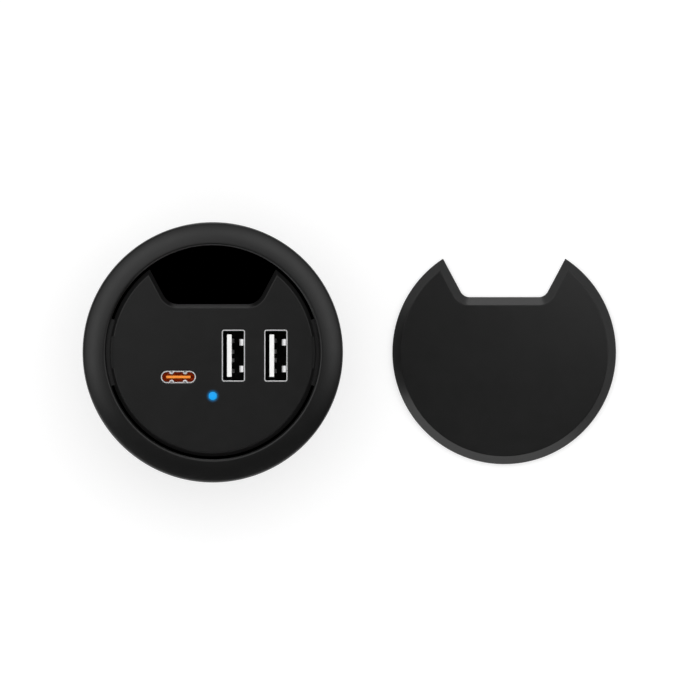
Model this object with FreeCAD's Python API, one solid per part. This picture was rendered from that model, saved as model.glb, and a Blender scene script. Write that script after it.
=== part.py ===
import FreeCAD, Part
import math
import os

from FreeCAD import Vector

# A round USB charger for a 60 mm cable hole in a desk, with its loose cover cap beside it.
# All sizes are in millimetres. The origin is the centre of the flange's underside, which rests on
# the desk. +Z points up out of the desk, +Y to the cable notch and +X to the cover cap.

# Desk hole and sleeve
desk_hole_radius = 30.0
sleeve_clearance = 0.4
sleeve_wall = 1.6
sleeve_depth = 36.0
sleeve_foot_chamfer = 0.5

# Flange of the bezel ring, a convex crown that steepens outwards
flange_overhang = 3.0
flange_height = 4.0
flange_rim_bevel_width = 0.6
flange_rim_bevel_drop = 1.0
crown_inner_tilt = 10.0
crown_outer_tilt = 30.0
bore_lip = 0.95
bore_edge_bevel = 0.35
bore_land_depth = 3.0

# Spring tongues moulded in the sleeve, with saw teeth that grip the hole
spring_tongue_count = 4
spring_tongue_first_angle = 45.0
spring_tongue_width = 10.0
spring_tongue_slot = 1.5
spring_tongue_root = 8.0
spring_tongue_length = 20.0
saw_tooth_count = 3
saw_tooth_pitch = 4.5
saw_tooth_height = 0.2
saw_tooth_end_gap = 1.5

# Ledges at 3 and 9 o'clock in the ring's bore, which carry the charger
ledge_half_width = 8.5
ledge_overlap = 1.5
ledge_thickness = 1.5
ledge_gusset_drop = 2.5
ledge_side_clearance = 0.4
ledge_radial_clearance = 0.3

# Face plate of the charger, sunk a little below the ring's top
plate_gap = 0.65
plate_sink = 0.4
plate_thickness = 2.4
plate_edge_bevel = 1.0
plate_ledge_thickness = 1.2
plate_ledge_step = 0.35
plate_notch_floor = 12.26
plate_notch_half_width = 11.3
plate_notch_corner = 4.2
notch_slant = 28.0

# Shallow recesses in the plate's edge, above the middle of each ledge
edge_recess_half_width = 4.1
edge_recess_width = 0.8
edge_recess_depth = 0.5

# Snap hooks under the plate, which catch in windows of the housing's wall
hook_ledge_gap = 1.0
hook_lower_angle = 60.0
hook_half_width = 2.5
hook_thickness = 1.1
hook_length = 6.2
hook_catch_depth = 4.2
hook_nose = 0.9
hook_clearance = 0.2

# Rear housing
housing_inset = 0.6
housing_wall = 1.6
housing_bottom_bevel = 0.8
vent_count = 5
vent_pitch = 4.0
vent_width = 1.6
vent_length = 9.0
vent_middle_y = -10.0
rib_width = 2.0
rib_length = 3.0
rib_angles = [25.0, 155.0, 225.0, 315.0]
rib_edge_distance = 3.6

# Upright type A sockets
usb_a_edge_distance = 10.4
usb_a_pitch = 10.76
usb_a_y = -0.84
usb_a_width = 5.93
usb_a_height = 13.2
usb_a_length = 14.0
usb_a_wall = 0.33
usb_a_corner = 0.6
usb_a_tongue_gap = 0.97
usb_a_tongue_thickness = 1.28
usb_a_tongue_width = 10.9
usb_a_tongue_sink = 1.2
usb_a_tongue_tip = 0.8
usb_a_base_height = 3.0
usb_a_contact_width = 1.1
usb_a_contact_thickness = 0.2
usb_a_contact_bulge = 0.85
usb_a_contact_inner_y = 1.0
usb_a_contact_outer_y = 3.5
usb_a_finger_y = 3.37
usb_a_finger_width = 1.6
usb_a_finger_bulge = 1.15
usb_a_finger_slit = 0.25
usb_a_finger_top = 1.3
usb_a_finger_length = 6.5

# Type C socket
usb_c_x = -8.71
usb_c_y = -6.25
usb_c_width = 8.85
usb_c_height = 3.13
usb_c_wall = 0.3
usb_c_shell_length = 10.0
usb_c_cavity_depth = 6.5
usb_c_tongue_width = 6.26
usb_c_tongue_thickness = 0.7
usb_c_tongue_sink = 0.8
usb_c_dimple_x = 1.7
usb_c_dimple_reach = 0.55
usb_c_dimple_sink = 0.4
usb_c_dimple_length = 1.2
usb_c_contact_count = 12
usb_c_contact_pitch = 0.5
usb_c_contact_width = 0.25
usb_c_contact_thickness = 0.06

# Openings in the face plate
socket_clearance = 0.1

# Indicator light
led_y = -11.05
led_radius = 1.05
led_hole_clearance = 0.08
led_rise = 0.15
led_air_gap = 0.3
led_chip_length = 2.0
led_chip_width = 1.25
led_chip_height = 0.8

# Circuit boards
board_thickness = 1.6
board_gap = 8.0
board_side_clearance = 0.3
board_sides = 16

# Posts and screws that carry the port board
post_angles = [225.0, 315.0]
post_edge_distance = 2.2
post_radius = 2.0
board_screw_radius = 1.0
board_screw_length = 5.0
board_screw_head_radius = 2.0
board_screw_head_height = 1.3
screw_clearance = 0.1

# Connector between the boards
header_edge_distance = 7.2
header_y = -1.5
header_rows = 2
header_columns = 4
header_pitch = 2.54
header_pin = 0.64
header_body_height = 2.5

# Parts on the boards
capacitor_radius = 3.15
capacitor_height = 5.8
capacitor_base = 0.8
capacitor_base_rim = 0.15
capacitor_places = [(0.0, -12.0)]
inductor_side = 7.0
inductor_bevel = 1.2
inductor_height = 4.0
inductor_places = [(-11.0, -4.0), (11.0, -4.0), (0.0, -10.5)]
chip_side = 4.0
chip_height = 0.9
upper_chip_place = (-8.7, 3.0)
chip_post_distance = 6.5
chip_post_rise = 2.0
chip_capacitor_length = 2.0
chip_capacitor_width = 1.25
chip_capacitor_height = 0.9
chip_capacitor_step = 1.6

# Low-voltage inlet in the housing's floor, facing down
inlet_x = 0.0
inlet_y = 3.0
inlet_side = 9.0
inlet_length = 9.8
inlet_hole_radius = 3.4
inlet_bore_radius = 3.0
inlet_bore_depth = 8.5
inlet_pin_radius = 1.0
inlet_pin_sink = 0.5
inlet_spring_width = 2.0
inlet_spring_thickness = 0.25
inlet_spring_bulge = 0.7

# Cover cap, lying beside the ring on the surface that the sleeve stands on
cover_gap = 12.5
cover_overlap = 1.3
cover_height = 2.65
cover_bevel = 2.05
cover_notch_floor = 14.0
cover_notch_half_width = 10.3
cover_notch_corner = 2.6
cover_wall = 1.5
cover_hollow_depth = 1.2
cover_tab_half_width = 4.0
cover_tab_thickness = 0.65
cover_tab_drop = 1.3
cover_tab_root = 0.1

# Places that follow from the sizes
sleeve_outer_radius = desk_hole_radius - sleeve_clearance
sleeve_inner_radius = sleeve_outer_radius - sleeve_wall
sleeve_bottom = -sleeve_depth
flange_radius = desk_hole_radius + flange_overhang
bore_radius = sleeve_inner_radius - bore_lip
plate_radius = bore_radius - plate_gap
plate_ledge_radius = plate_radius - plate_ledge_step
plate_top = flange_height - plate_sink
plate_bottom = plate_top - plate_thickness
ledge_top = plate_top - plate_ledge_thickness
ledge_inner_radius = plate_radius - ledge_overlap
ledge_half_angle = math.degrees(math.asin(ledge_half_width / bore_radius))
channel_half_angle = ledge_half_angle + math.degrees(ledge_side_clearance / ledge_inner_radius)
channel_radius = ledge_inner_radius - ledge_radial_clearance
cavity_inset = housing_inset + housing_wall
hook_outer = plate_radius - cavity_inset - hook_clearance
hook_inner = hook_outer - hook_thickness
hook_half_angle = math.degrees(math.atan(hook_half_width / hook_inner))
hook_gap_angle = math.degrees((housing_wall + hook_ledge_gap) / channel_radius)
hook_upper_angle = channel_half_angle + hook_gap_angle + hook_half_angle
hook_angles = [hook_upper_angle, 180.0 - hook_upper_angle, 180.0 + hook_lower_angle, -hook_lower_angle]
port_board_top = plate_top - usb_a_length
port_board_bottom = port_board_top - board_thickness
power_board_top = port_board_bottom - board_gap
power_board_bottom = power_board_top - board_thickness
housing_floor = power_board_bottom - inlet_length
housing_bottom = housing_floor - housing_wall
board_radius = channel_radius - housing_wall - board_side_clearance
board_flat_y = plate_notch_floor - cavity_inset - board_side_clearance
header_x = header_edge_distance - board_radius
usb_a_right_x = plate_radius - usb_a_edge_distance
usb_a_left_x = usb_a_right_x - usb_a_pitch
cover_radius = bore_radius + cover_overlap
cover_x = flange_radius + cover_gap + cover_radius
cover_base = sleeve_bottom + cover_tab_drop


def line(start, end):
    return Part.LineSegment(start, end).toShape()


def arc(start, middle, end):
    return Part.Arc(start, middle, end).toShape()


def face_of(points):
    """Flat face inside a closed run of straight edges."""
    return Part.Face(Part.makePolygon(points + points[:1]))


def block(x, y, low, width, depth, height):
    """Upright block centred on x and y, standing on the height low."""
    return Part.makeBox(width, depth, height, Vector(x - width / 2, y - depth / 2, low))


def rod(x, y, low, high, radius):
    """Upright round rod between two heights."""
    return Part.makeCylinder(radius, high - low, Vector(x, y, low))


def bevelled_prism(x, y, width, depth, bevel, low, high):
    """Upright prism over a rectangle whose corners are cut off."""
    corners = []
    for sx, sy in [(1, 1), (-1, 1), (-1, -1), (1, -1)]:
        on_side = Vector(x + sx * width / 2, y + sy * (depth / 2 - bevel), low)
        on_end = Vector(x + sx * (width / 2 - bevel), y + sy * depth / 2, low)
        corners += [on_side, on_end] if sx == sy else [on_end, on_side]
    return face_of(corners).extrude(Vector(0, 0, high - low))


def rounded_prism(x, y, width, depth, corner, low, high):
    """Upright prism over a rectangle with round corners."""
    reach_x = width / 2
    reach_y = depth / 2
    diagonal = corner * (1 - math.sqrt(0.5))
    edges = []
    for turn, (sx, sy) in enumerate([(1, 1), (-1, 1), (-1, -1), (1, -1)]):
        on_side = Vector(x + sx * reach_x, y + sy * (reach_y - corner), low)
        on_end = Vector(x + sx * (reach_x - corner), y + sy * reach_y, low)
        middle = Vector(x + sx * (reach_x - diagonal), y + sy * (reach_y - diagonal), low)
        first, last = (on_side, on_end) if turn % 2 == 0 else (on_end, on_side)
        edges.append((first, middle, last))
    outline = []
    for index, (first, middle, last) in enumerate(edges):
        outline.append(arc(first, middle, last))
        following = edges[(index + 1) % len(edges)][0]
        if last.distanceToPoint(following) > 1e-6:
            outline.append(line(last, following))
    return Part.Face(Part.Wire(outline)).extrude(Vector(0, 0, high - low))


def turned(profile, middle_angle=0.0, half_angle=180.0):
    """Solid of a profile of radius and height, turned about the Z axis through a sector."""
    solid = profile.revolve(Vector(0, 0, 0), Vector(0, 0, 1), 2 * half_angle)
    solid.rotate(Vector(0, 0, 0), Vector(0, 0, 1), middle_angle - half_angle)
    return solid


def sector(inner, outer, low, high, middle_angle, half_angle):
    """Block of a ring wall between two radii and two heights."""
    corners = [(inner, low), (outer, low), (outer, high), (inner, high)]
    profile = face_of([Vector(radius, 0, height) for radius, height in corners])
    return turned(profile, middle_angle, half_angle)


def notched_outline(radius, floor, half_width, corner, inset, height):
    """Circle with the cable notch cut in its +Y side, the whole outline drawn in by inset.

    The notch has a straight floor and two sides that lean out by notch_slant. Drawing the outline
    in lowers the floor, spreads the sides and widens the round corners by the same amount.
    """
    slant = math.radians(notch_slant)
    reach = radius - inset
    floor_y = floor - inset
    corner_x = half_width + inset * math.tan(math.pi / 4 - slant / 2)
    round_radius = corner + inset
    half_turn = (math.pi / 2 - slant) / 2
    trim = round_radius * math.tan(half_turn)
    up_x = math.sin(slant)
    up_y = math.cos(slant)
    along = corner_x * up_x + floor_y * up_y
    run = math.sqrt(along**2 - corner_x**2 - floor_y**2 + reach**2) - along
    middle_x = corner_x - trim + round_radius * math.sin(half_turn)
    middle_y = floor_y + round_radius * (1 - math.cos(half_turn))

    def mirrored(x, y):
        return Vector(x, y, height), Vector(-x, y, height)

    tip, far_tip = mirrored(corner_x + run * up_x, floor_y + run * up_y)
    side, far_side = mirrored(corner_x + trim * up_x, floor_y + trim * up_y)
    middle, far_middle = mirrored(middle_x, middle_y)
    floor_end, far_floor_end = mirrored(corner_x - trim, floor_y)
    edges = [arc(tip, Vector(0, -reach, height), far_tip)]
    edges.append(line(far_tip, far_side))
    edges.append(arc(far_side, far_middle, far_floor_end))
    edges.append(line(far_floor_end, floor_end))
    edges.append(arc(floor_end, middle, side))
    edges.append(line(side, tip))
    return Part.Wire(edges)


def plate_outline(inset, height):
    """The face plate's notched outline, drawn in by inset."""
    return notched_outline(
        plate_radius, plate_notch_floor, plate_notch_half_width, plate_notch_corner, inset, height
    )


def plate_prism(inset, low, high):
    """Prism over the face plate's outline, drawn in by inset."""
    return Part.Face(plate_outline(inset, low)).extrude(Vector(0, 0, high - low))


def cover_outline(inset, height):
    """The cover cap's notched outline, drawn in by inset."""
    return notched_outline(
        cover_radius, cover_notch_floor, cover_notch_half_width, cover_notch_corner, inset, height
    )


def edges_at(shape, height):
    """Edges that lie wholly at one height."""
    chosen = []
    for edge in shape.Edges:
        box = edge.BoundBox
        if abs(box.ZMin - height) < 1e-4 and abs(box.ZMax - height) < 1e-4:
            chosen.append(edge)
    return chosen


def leaf_spring(places, thickness, width):
    """Bent strip in the XZ plane, centred on y = 0, that runs through places of x and z.

    The strip's front face passes through the places, and its back lies one thickness behind in x.
    """
    front = [Vector(x, -width / 2, z) for x, z in places]
    back = [Vector(x + thickness, -width / 2, z) for x, z in reversed(places)]
    return face_of(front + back).extrude(Vector(0, width, 0))


def flange_profile():
    """Profile of flange and sleeve, whose crown is an arc between the tilts at its two ends."""
    inner = math.radians(crown_inner_tilt)
    outer = math.radians(crown_outer_tilt)
    crown_in_r = bore_radius + bore_edge_bevel
    crown_out_r = flange_radius - flange_rim_bevel_width
    crown = (crown_out_r - crown_in_r) / (math.sin(outer) - math.sin(inner))
    centre_r = crown_in_r - crown * math.sin(inner)
    centre_z = flange_height - crown * math.cos(inner)

    def on_crown(tilt):
        return Vector(centre_r + crown * math.sin(tilt), 0, centre_z + crown * math.cos(tilt))

    crown_in = on_crown(inner)
    crown_out = on_crown(outer)
    land_step = sleeve_inner_radius - bore_radius
    corners = [
        crown_out,
        Vector(flange_radius, 0, crown_out.z - flange_rim_bevel_drop),
        Vector(flange_radius, 0, 0),
        Vector(sleeve_outer_radius, 0, 0),
        Vector(sleeve_outer_radius, 0, sleeve_bottom + sleeve_foot_chamfer),
        Vector(sleeve_outer_radius - sleeve_foot_chamfer, 0, sleeve_bottom),
        Vector(sleeve_inner_radius, 0, sleeve_bottom),
        Vector(sleeve_inner_radius, 0, -bore_land_depth - land_step),
        Vector(bore_radius, 0, -bore_land_depth),
        Vector(bore_radius, 0, flange_height - bore_edge_bevel),
        crown_in,
    ]
    edges = [arc(crown_in, on_crown((inner + outer) / 2), crown_out)]
    for start, end in zip(corners, corners[1:]):
        edges.append(line(start, end))
    return Part.Face(Part.Wire(edges))


def tongue_slots(angle):
    """U-shaped slot that frees one spring tongue at its sides and lower end."""
    inner = sleeve_inner_radius - sleeve_wall
    outer = sleeve_outer_radius + sleeve_wall
    top = -spring_tongue_root
    end = top - spring_tongue_length
    half_tongue = math.degrees(spring_tongue_width / 2 / sleeve_outer_radius)
    half_slot = math.degrees(spring_tongue_slot / 2 / sleeve_outer_radius)
    slots = []
    for side in (-1, 1):
        middle = angle + side * (half_tongue + half_slot)
        slots.append(sector(inner, outer, end - spring_tongue_slot, top, middle, half_slot))
    slots.append(sector(inner, outer, end - spring_tongue_slot, end, angle, half_tongue))
    return slots


def saw_teeth(angle):
    """Row of saw teeth on one spring tongue: sloped for the way in, square for the way out."""
    half_tongue = math.degrees(spring_tongue_width / 2 / sleeve_outer_radius)
    root = sleeve_outer_radius - sleeve_wall / 4
    low = -spring_tongue_root - spring_tongue_length + saw_tooth_end_gap
    points = [Vector(root, 0, low), Vector(sleeve_outer_radius, 0, low)]
    for tooth in range(saw_tooth_count):
        top = low + (tooth + 1) * saw_tooth_pitch
        points.append(Vector(sleeve_outer_radius + saw_tooth_height, 0, top))
        points.append(Vector(sleeve_outer_radius, 0, top))
    points.append(Vector(root, 0, low + saw_tooth_count * saw_tooth_pitch))
    return turned(face_of(points), angle, half_tongue)


def ledge(angle):
    """Ledge with a sloped gusset below, grown from the ring's bore."""
    wall = bore_radius + sleeve_wall / 8
    foot = ledge_top - ledge_thickness
    corners = [(ledge_inner_radius, ledge_top), (wall, ledge_top)]
    corners += [(wall, foot - ledge_gusset_drop), (ledge_inner_radius, foot)]
    profile = face_of([Vector(radius, 0, height) for radius, height in corners])
    return turned(profile, angle, ledge_half_angle)


def make_bezel_ring():
    ring = turned(flange_profile())
    angles = [
        spring_tongue_first_angle + index * 360.0 / spring_tongue_count
        for index in range(spring_tongue_count)
    ]
    slots = []
    for angle in angles:
        slots += tongue_slots(angle)
    ring = ring.cut(slots)
    teeth = [saw_teeth(angle) for angle in angles]
    return ring.fuse(teeth + [ledge(0.0), ledge(180.0)])


def ledge_channels(radius, low, high, extra_angle=0.0):
    """Room for both ledges, from one radius outwards."""
    outer = flange_radius
    half = channel_half_angle + extra_angle
    return [sector(radius, outer, low, high, angle, half) for angle in (0.0, 180.0)]


def socket_prisms(growth, low, high):
    """Prisms over the three sockets' outlines, each grown all round."""
    prisms = []
    for x in (usb_a_left_x, usb_a_right_x):
        width = usb_a_width + 2 * growth
        depth = usb_a_height + 2 * growth
        prisms.append(rounded_prism(x, usb_a_y, width, depth, usb_a_corner + growth, low, high))
    width = usb_c_width + 2 * growth
    depth = usb_c_height + 2 * growth
    corner = 0.499 * depth
    prisms.append(rounded_prism(usb_c_x, usb_c_y, width, depth, corner, low, high))
    return prisms


def places_inside_board(angles, edge_distance):
    """Centres at given angles, each at one distance inside the boards' round edge."""
    reach = board_radius - edge_distance
    turns = [math.radians(angle) for angle in angles]
    return [(reach * math.cos(turn), reach * math.sin(turn)) for turn in turns]


def post_places():
    return places_inside_board(post_angles, post_edge_distance)


def outward(shape, angle):
    """Turn a shape that was drawn towards +X to another angle about the Z axis."""
    shape.rotate(Vector(0, 0, 0), Vector(0, 0, 1), angle)
    return shape


def snap_hook(angle):
    """Flat arm under the plate with a nose at its end: level above to catch, sloped below."""
    catch = plate_bottom - hook_catch_depth
    tip = plate_bottom - hook_length
    corners = [(hook_inner, plate_bottom), (hook_outer, plate_bottom), (hook_outer, catch)]
    corners += [(hook_outer + hook_nose, catch), (hook_outer, tip), (hook_inner, tip)]
    profile = face_of([Vector(x, -hook_half_width, z) for x, z in corners])
    return outward(profile.extrude(Vector(0, 2 * hook_half_width, 0)), angle)


def snap_window(angle):
    """Hole in the housing's wall that one hook's nose catches in."""
    low = plate_bottom - hook_length - hook_clearance
    high = plate_bottom - hook_catch_depth + hook_clearance
    width = 2 * (hook_half_width + hook_clearance)
    window = block(plate_radius, 0, low, 2 * cavity_inset + housing_wall, width, high - low)
    return outward(window, angle)


def make_face_plate():
    plate = plate_prism(0.0, plate_bottom, plate_top)
    plate = plate.makeChamfer(plate_edge_bevel, edges_at(plate, plate_top))
    additions = [rod(x, y, port_board_top, plate_bottom, post_radius) for x, y in post_places()]
    additions += [snap_hook(angle) for angle in hook_angles]
    plate = plate.fuse(additions)

    # Cuts: sockets, light, screw holes, room for the ledges and the two edge recesses
    cuts = socket_prisms(socket_clearance, plate_bottom, plate_top)
    cuts.append(rod(0.0, led_y, plate_bottom, plate_top, led_radius + led_hole_clearance))
    hole_top = port_board_bottom + board_screw_length + screw_clearance
    for x, y in post_places():
        cuts.append(rod(x, y, port_board_top, hole_top, board_screw_radius + screw_clearance))
    cuts += ledge_channels(channel_radius, plate_bottom, ledge_top)
    for angle in (0.0, 180.0):
        outer = flange_radius
        cuts.append(sector(plate_ledge_radius, outer, plate_bottom, plate_top, angle, ledge_half_angle))
        recess_radius = plate_ledge_radius - edge_recess_width
        recess_angle = math.degrees(math.asin(edge_recess_half_width / plate_ledge_radius))
        recess_low = plate_top - edge_recess_depth
        cuts.append(sector(recess_radius, outer, recess_low, plate_top, angle, recess_angle))
    return plate.cut(cuts)


def make_rear_housing():
    outer = plate_prism(housing_inset, housing_bottom, plate_bottom)
    outer = outer.makeChamfer(housing_bottom_bevel, edges_at(outer, housing_bottom))
    outer = outer.cut(ledge_channels(channel_radius, housing_bottom, plate_bottom))
    wall_angle = math.degrees(housing_wall / channel_radius)
    inside = plate_prism(cavity_inset, housing_floor, plate_bottom)
    inner_channel = channel_radius - housing_wall
    inside = inside.cut(ledge_channels(inner_channel, housing_floor, plate_bottom, wall_angle))
    housing = outer.cut(inside)

    # Ribs that carry the power board
    rib_height = power_board_bottom - housing_floor
    rib_places = places_inside_board(rib_angles, rib_edge_distance)
    ribs = [block(x, y, housing_floor, rib_width, rib_length, rib_height) for x, y in rib_places]
    housing = housing.fuse(ribs)

    cuts = [snap_window(angle) for angle in hook_angles]
    cuts.append(rod(inlet_x, inlet_y, housing_bottom, housing_floor, inlet_hole_radius))
    for index in range(vent_count):
        x = (index - (vent_count - 1) / 2) * vent_pitch
        cuts.append(block(x, vent_middle_y, housing_bottom, vent_width, vent_length, housing_wall))
    return housing.cut(cuts)


def make_board_screws():
    """Screws with a six-sided head below the board."""
    screws = []
    low = port_board_bottom - board_screw_head_height
    for x, y in post_places():
        corners = []
        for index in range(6):
            turn = math.pi * index / 3
            place_x = x + board_screw_head_radius * math.cos(turn)
            place_y = y + board_screw_head_radius * math.sin(turn)
            corners.append(Vector(place_x, place_y, low))
        head = face_of(corners).extrude(Vector(0, 0, board_screw_head_height))
        shank = rod(x, y, port_board_bottom, port_board_bottom + board_screw_length, board_screw_radius)
        screws.append(head.fuse(shank))
    return Part.makeCompound(screws)


def board_blank(low):
    """Many-sided board that fits inside the housing, with a straight edge along the notch."""
    corners = []
    for index in range(board_sides):
        turn = 2 * math.pi * (index + 0.5) / board_sides
        corners.append(Vector(board_radius * math.cos(turn), board_radius * math.sin(turn), low))
    blank = face_of(corners).extrude(Vector(0, 0, board_thickness))
    span = 2 * board_radius
    return blank.cut(block(0, board_flat_y + board_radius, low, span, span, board_thickness))


def make_port_board():
    cuts = []
    for x, y in post_places():
        cuts.append(rod(x, y, port_board_bottom, port_board_top, board_screw_radius + screw_clearance))
    for x, y in header_pin_places():
        cuts.append(pin_hole(x, y, port_board_bottom, port_board_top))
    return board_blank(port_board_bottom).cut(cuts)


def make_power_board():
    holes = [pin_hole(x, y, power_board_bottom, power_board_top) for x, y in header_pin_places()]
    return board_blank(power_board_bottom).cut(holes)


def header_pin_places():
    """Centres of the pins that join the two boards, on a regular grid."""
    places = []
    for row in range(header_rows):
        for column in range(header_columns):
            x = header_x + (row - (header_rows - 1) / 2) * header_pitch
            y = header_y + (column - (header_columns - 1) / 2) * header_pitch
            places.append((x, y))
    return places


def pin_hole(x, y, low, high):
    side = header_pin + 2 * screw_clearance
    return block(x, y, low, side, side, high - low)


def make_board_header():
    low = port_board_bottom - header_body_height
    width = header_rows * header_pitch
    depth = header_columns * header_pitch
    body = block(header_x, header_y, low, width, depth, header_body_height)
    return body.cut([pin_hole(x, y, low, port_board_bottom) for x, y in header_pin_places()])


def make_header_pins():
    height = port_board_top - power_board_bottom
    pins = [block(x, y, power_board_bottom, header_pin, header_pin, height) for x, y in header_pin_places()]
    return Part.makeCompound(pins)


def make_usb_a_shell(x):
    """Stamped shell with two spring fingers in the wall that faces away from the tongue."""
    tube = rounded_prism(0, 0, usb_a_width, usb_a_height, usb_a_corner, -usb_a_length, 0)
    inner_width = usb_a_width - 2 * usb_a_wall
    inner_height = usb_a_height - 2 * usb_a_wall
    inner_corner = usb_a_corner - usb_a_wall
    hollow = rounded_prism(0, 0, inner_width, inner_height, inner_corner, -usb_a_length, 0)
    tube = tube.cut(hollow)
    wall_face = inner_width / 2
    window_low = -usb_a_finger_top - usb_a_finger_length
    window_width = usb_a_finger_width + 2 * usb_a_finger_slit
    window_x = wall_face + usb_a_wall
    height = usb_a_finger_length
    fingers = []
    windows = []
    for y in (-usb_a_finger_y, usb_a_finger_y):
        windows.append(block(window_x, y, window_low, 3 * usb_a_wall, window_width, height))
        knee = window_low + 0.7 * usb_a_finger_length
        tip = window_low + 0.93 * usb_a_finger_length
        tip_x = wall_face - 0.45 * usb_a_finger_bulge
        path = [(wall_face, window_low - usb_a_wall), (wall_face, window_low + usb_a_wall)]
        path += [(wall_face - usb_a_finger_bulge, knee), (tip_x, tip)]
        finger = leaf_spring(path, usb_a_wall, usb_a_finger_width)
        finger.translate(Vector(0, y, 0))
        fingers.append(finger)
    shell = tube.cut(windows).fuse(fingers)
    shell.translate(Vector(x, usb_a_y, plate_top))
    return shell


def usb_a_tongue_left():
    """Place of the tongue's left face, from the middle of its socket."""
    return usb_a_tongue_gap + usb_a_wall - usb_a_width / 2


def make_usb_a_tongue(x):
    """White tongue with a bevelled tip, moulded in one with the base that fills the shell."""
    left = usb_a_tongue_left()
    right = left + usb_a_tongue_thickness
    tip = -usb_a_tongue_sink
    bevel = usb_a_tongue_thickness / 4
    low = -usb_a_length + usb_a_base_height
    half = usb_a_tongue_width / 2
    profile = [Vector(left, -half, low), Vector(right, -half, low)]
    profile += [Vector(right, -half, tip - usb_a_tongue_tip), Vector(right - bevel, -half, tip)]
    profile += [Vector(left + bevel, -half, tip), Vector(left, -half, tip - usb_a_tongue_tip)]
    tongue = face_of(profile).extrude(Vector(0, usb_a_tongue_width, 0))
    base_width = usb_a_width - 2 * usb_a_wall - 2 * screw_clearance
    base_depth = usb_a_height - 2 * usb_a_wall - 2 * screw_clearance
    base = block(0, 0, -usb_a_length, base_width, base_depth, usb_a_base_height)
    tongue = tongue.fuse(base)
    tongue.translate(Vector(x, usb_a_y, plate_top))
    return tongue


def make_usb_a_contacts(x):
    """Four leaf contacts that lie on the tongue and bulge towards the plug."""
    face = usb_a_tongue_left() + usb_a_tongue_thickness
    low = -usb_a_length + usb_a_base_height
    tip = -usb_a_tongue_sink - usb_a_tongue_tip
    bulge = face + usb_a_contact_bulge
    reach = tip - low
    path = [(face, low), (face, low + 0.35 * reach), (bulge - usb_a_contact_thickness, low + 0.75 * reach)]
    path += [(bulge - usb_a_contact_thickness, low + 0.82 * reach), (face, tip)]
    contacts = []
    for place in (usb_a_contact_inner_y, usb_a_contact_outer_y):
        for y in (-place, place):
            contact = leaf_spring(path, usb_a_contact_thickness, usb_a_contact_width)
            contact.translate(Vector(x, usb_a_y + y, plate_top))
            contacts.append(contact)
    return Part.makeCompound(contacts)


def make_usb_c_shell():
    """Drawn racetrack tube with four dimples that hold the plug."""
    low = plate_top - usb_c_shell_length
    corner = 0.499 * usb_c_height
    tube = rounded_prism(usb_c_x, usb_c_y, usb_c_width, usb_c_height, corner, low, plate_top)
    inner_width = usb_c_width - 2 * usb_c_wall
    inner_height = usb_c_height - 2 * usb_c_wall
    inner_corner = 0.499 * inner_height
    hollow = rounded_prism(usb_c_x, usb_c_y, inner_width, inner_height, inner_corner, low, plate_top)
    dimples = []
    dimple_top = plate_top - usb_c_dimple_sink
    for x in (usb_c_x - usb_c_dimple_x, usb_c_x + usb_c_dimple_x):
        for side in (-1, 1):
            y = usb_c_y + side * (usb_c_height - usb_c_wall) / 2
            width = 2 * usb_c_dimple_reach
            low_end = dimple_top - usb_c_dimple_length
            dimples.append(bevelled_prism(x, y, width, width, width / 4, low_end, dimple_top))
    outer = tube.copy()
    return tube.cut(hollow).fuse(dimples).common(outer)


def make_usb_c_insulator():
    """Orange moulding that closes the bottom of the socket and stands on the board."""
    width = usb_c_width - 2 * usb_c_wall - 2 * screw_clearance
    depth = usb_c_height - 2 * usb_c_wall - 2 * screw_clearance
    corner = 0.499 * depth
    shell_low = plate_top - usb_c_shell_length
    cavity_floor = plate_top - usb_c_cavity_depth
    plug = rounded_prism(usb_c_x, usb_c_y, width, depth, corner, shell_low, cavity_floor)
    foot_height = shell_low - port_board_top
    foot = block(usb_c_x, usb_c_y, port_board_top, usb_c_width, usb_c_height, foot_height)
    return plug.fuse(foot)


def make_usb_c_tongue():
    """Orange tongue with a bevelled tip, standing on the moulding."""
    low = plate_top - usb_c_cavity_depth
    high = plate_top - usb_c_tongue_sink
    half = usb_c_tongue_thickness / 2
    bevel = half / 2
    profile = [(-half, low), (half, low), (half, high - bevel), (half - bevel, high)]
    profile += [(bevel - half, high), (-half, high - bevel)]
    left = usb_c_x - usb_c_tongue_width / 2
    points = [Vector(left, usb_c_y + y, z) for y, z in profile]
    return face_of(points).extrude(Vector(usb_c_tongue_width, 0, 0))


def make_usb_c_contacts():
    """Two rows of thin contact strips, one on each face of the tongue."""
    low = plate_top - usb_c_cavity_depth
    high = plate_top - usb_c_tongue_sink - usb_c_tongue_thickness
    strips = []
    for index in range(usb_c_contact_count):
        x = usb_c_x + (index - (usb_c_contact_count - 1) / 2) * usb_c_contact_pitch
        for side in (-1, 1):
            y = usb_c_y + side * (usb_c_tongue_thickness + usb_c_contact_thickness) / 2
            strips.append(block(x, y, low, usb_c_contact_width, usb_c_contact_thickness, high - low))
    return Part.makeCompound(strips)


def make_led_lens():
    """Light pipe over the chip, whose end stands a little above the face."""
    low = port_board_top + led_chip_height + led_air_gap
    return rod(0, led_y, low, plate_top + led_rise, led_radius)


def make_led_chip():
    return block(0, led_y, port_board_top, led_chip_length, led_chip_width, led_chip_height)


def make_filter_capacitors():
    """Upright cans, each on a square base on the power board."""
    cans = []
    side = 2 * (capacitor_radius + capacitor_base_rim)
    base_top = power_board_top + capacitor_base
    for x, y in capacitor_places:
        base = block(x, y, power_board_top, side, side, capacitor_base)
        can = rod(x, y, base_top, power_board_top + capacitor_height, capacitor_radius)
        cans.append(can.fuse(base))
    return Part.makeCompound(cans)


def make_power_inductors():
    """Shielded chokes with cut corners, hanging under the power board."""
    low = power_board_bottom - inductor_height
    side = inductor_side
    chokes = []
    for x, y in inductor_places:
        chokes.append(bevelled_prism(x, y, side, side, inductor_bevel, low, power_board_bottom))
    return Part.makeCompound(chokes)


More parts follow.
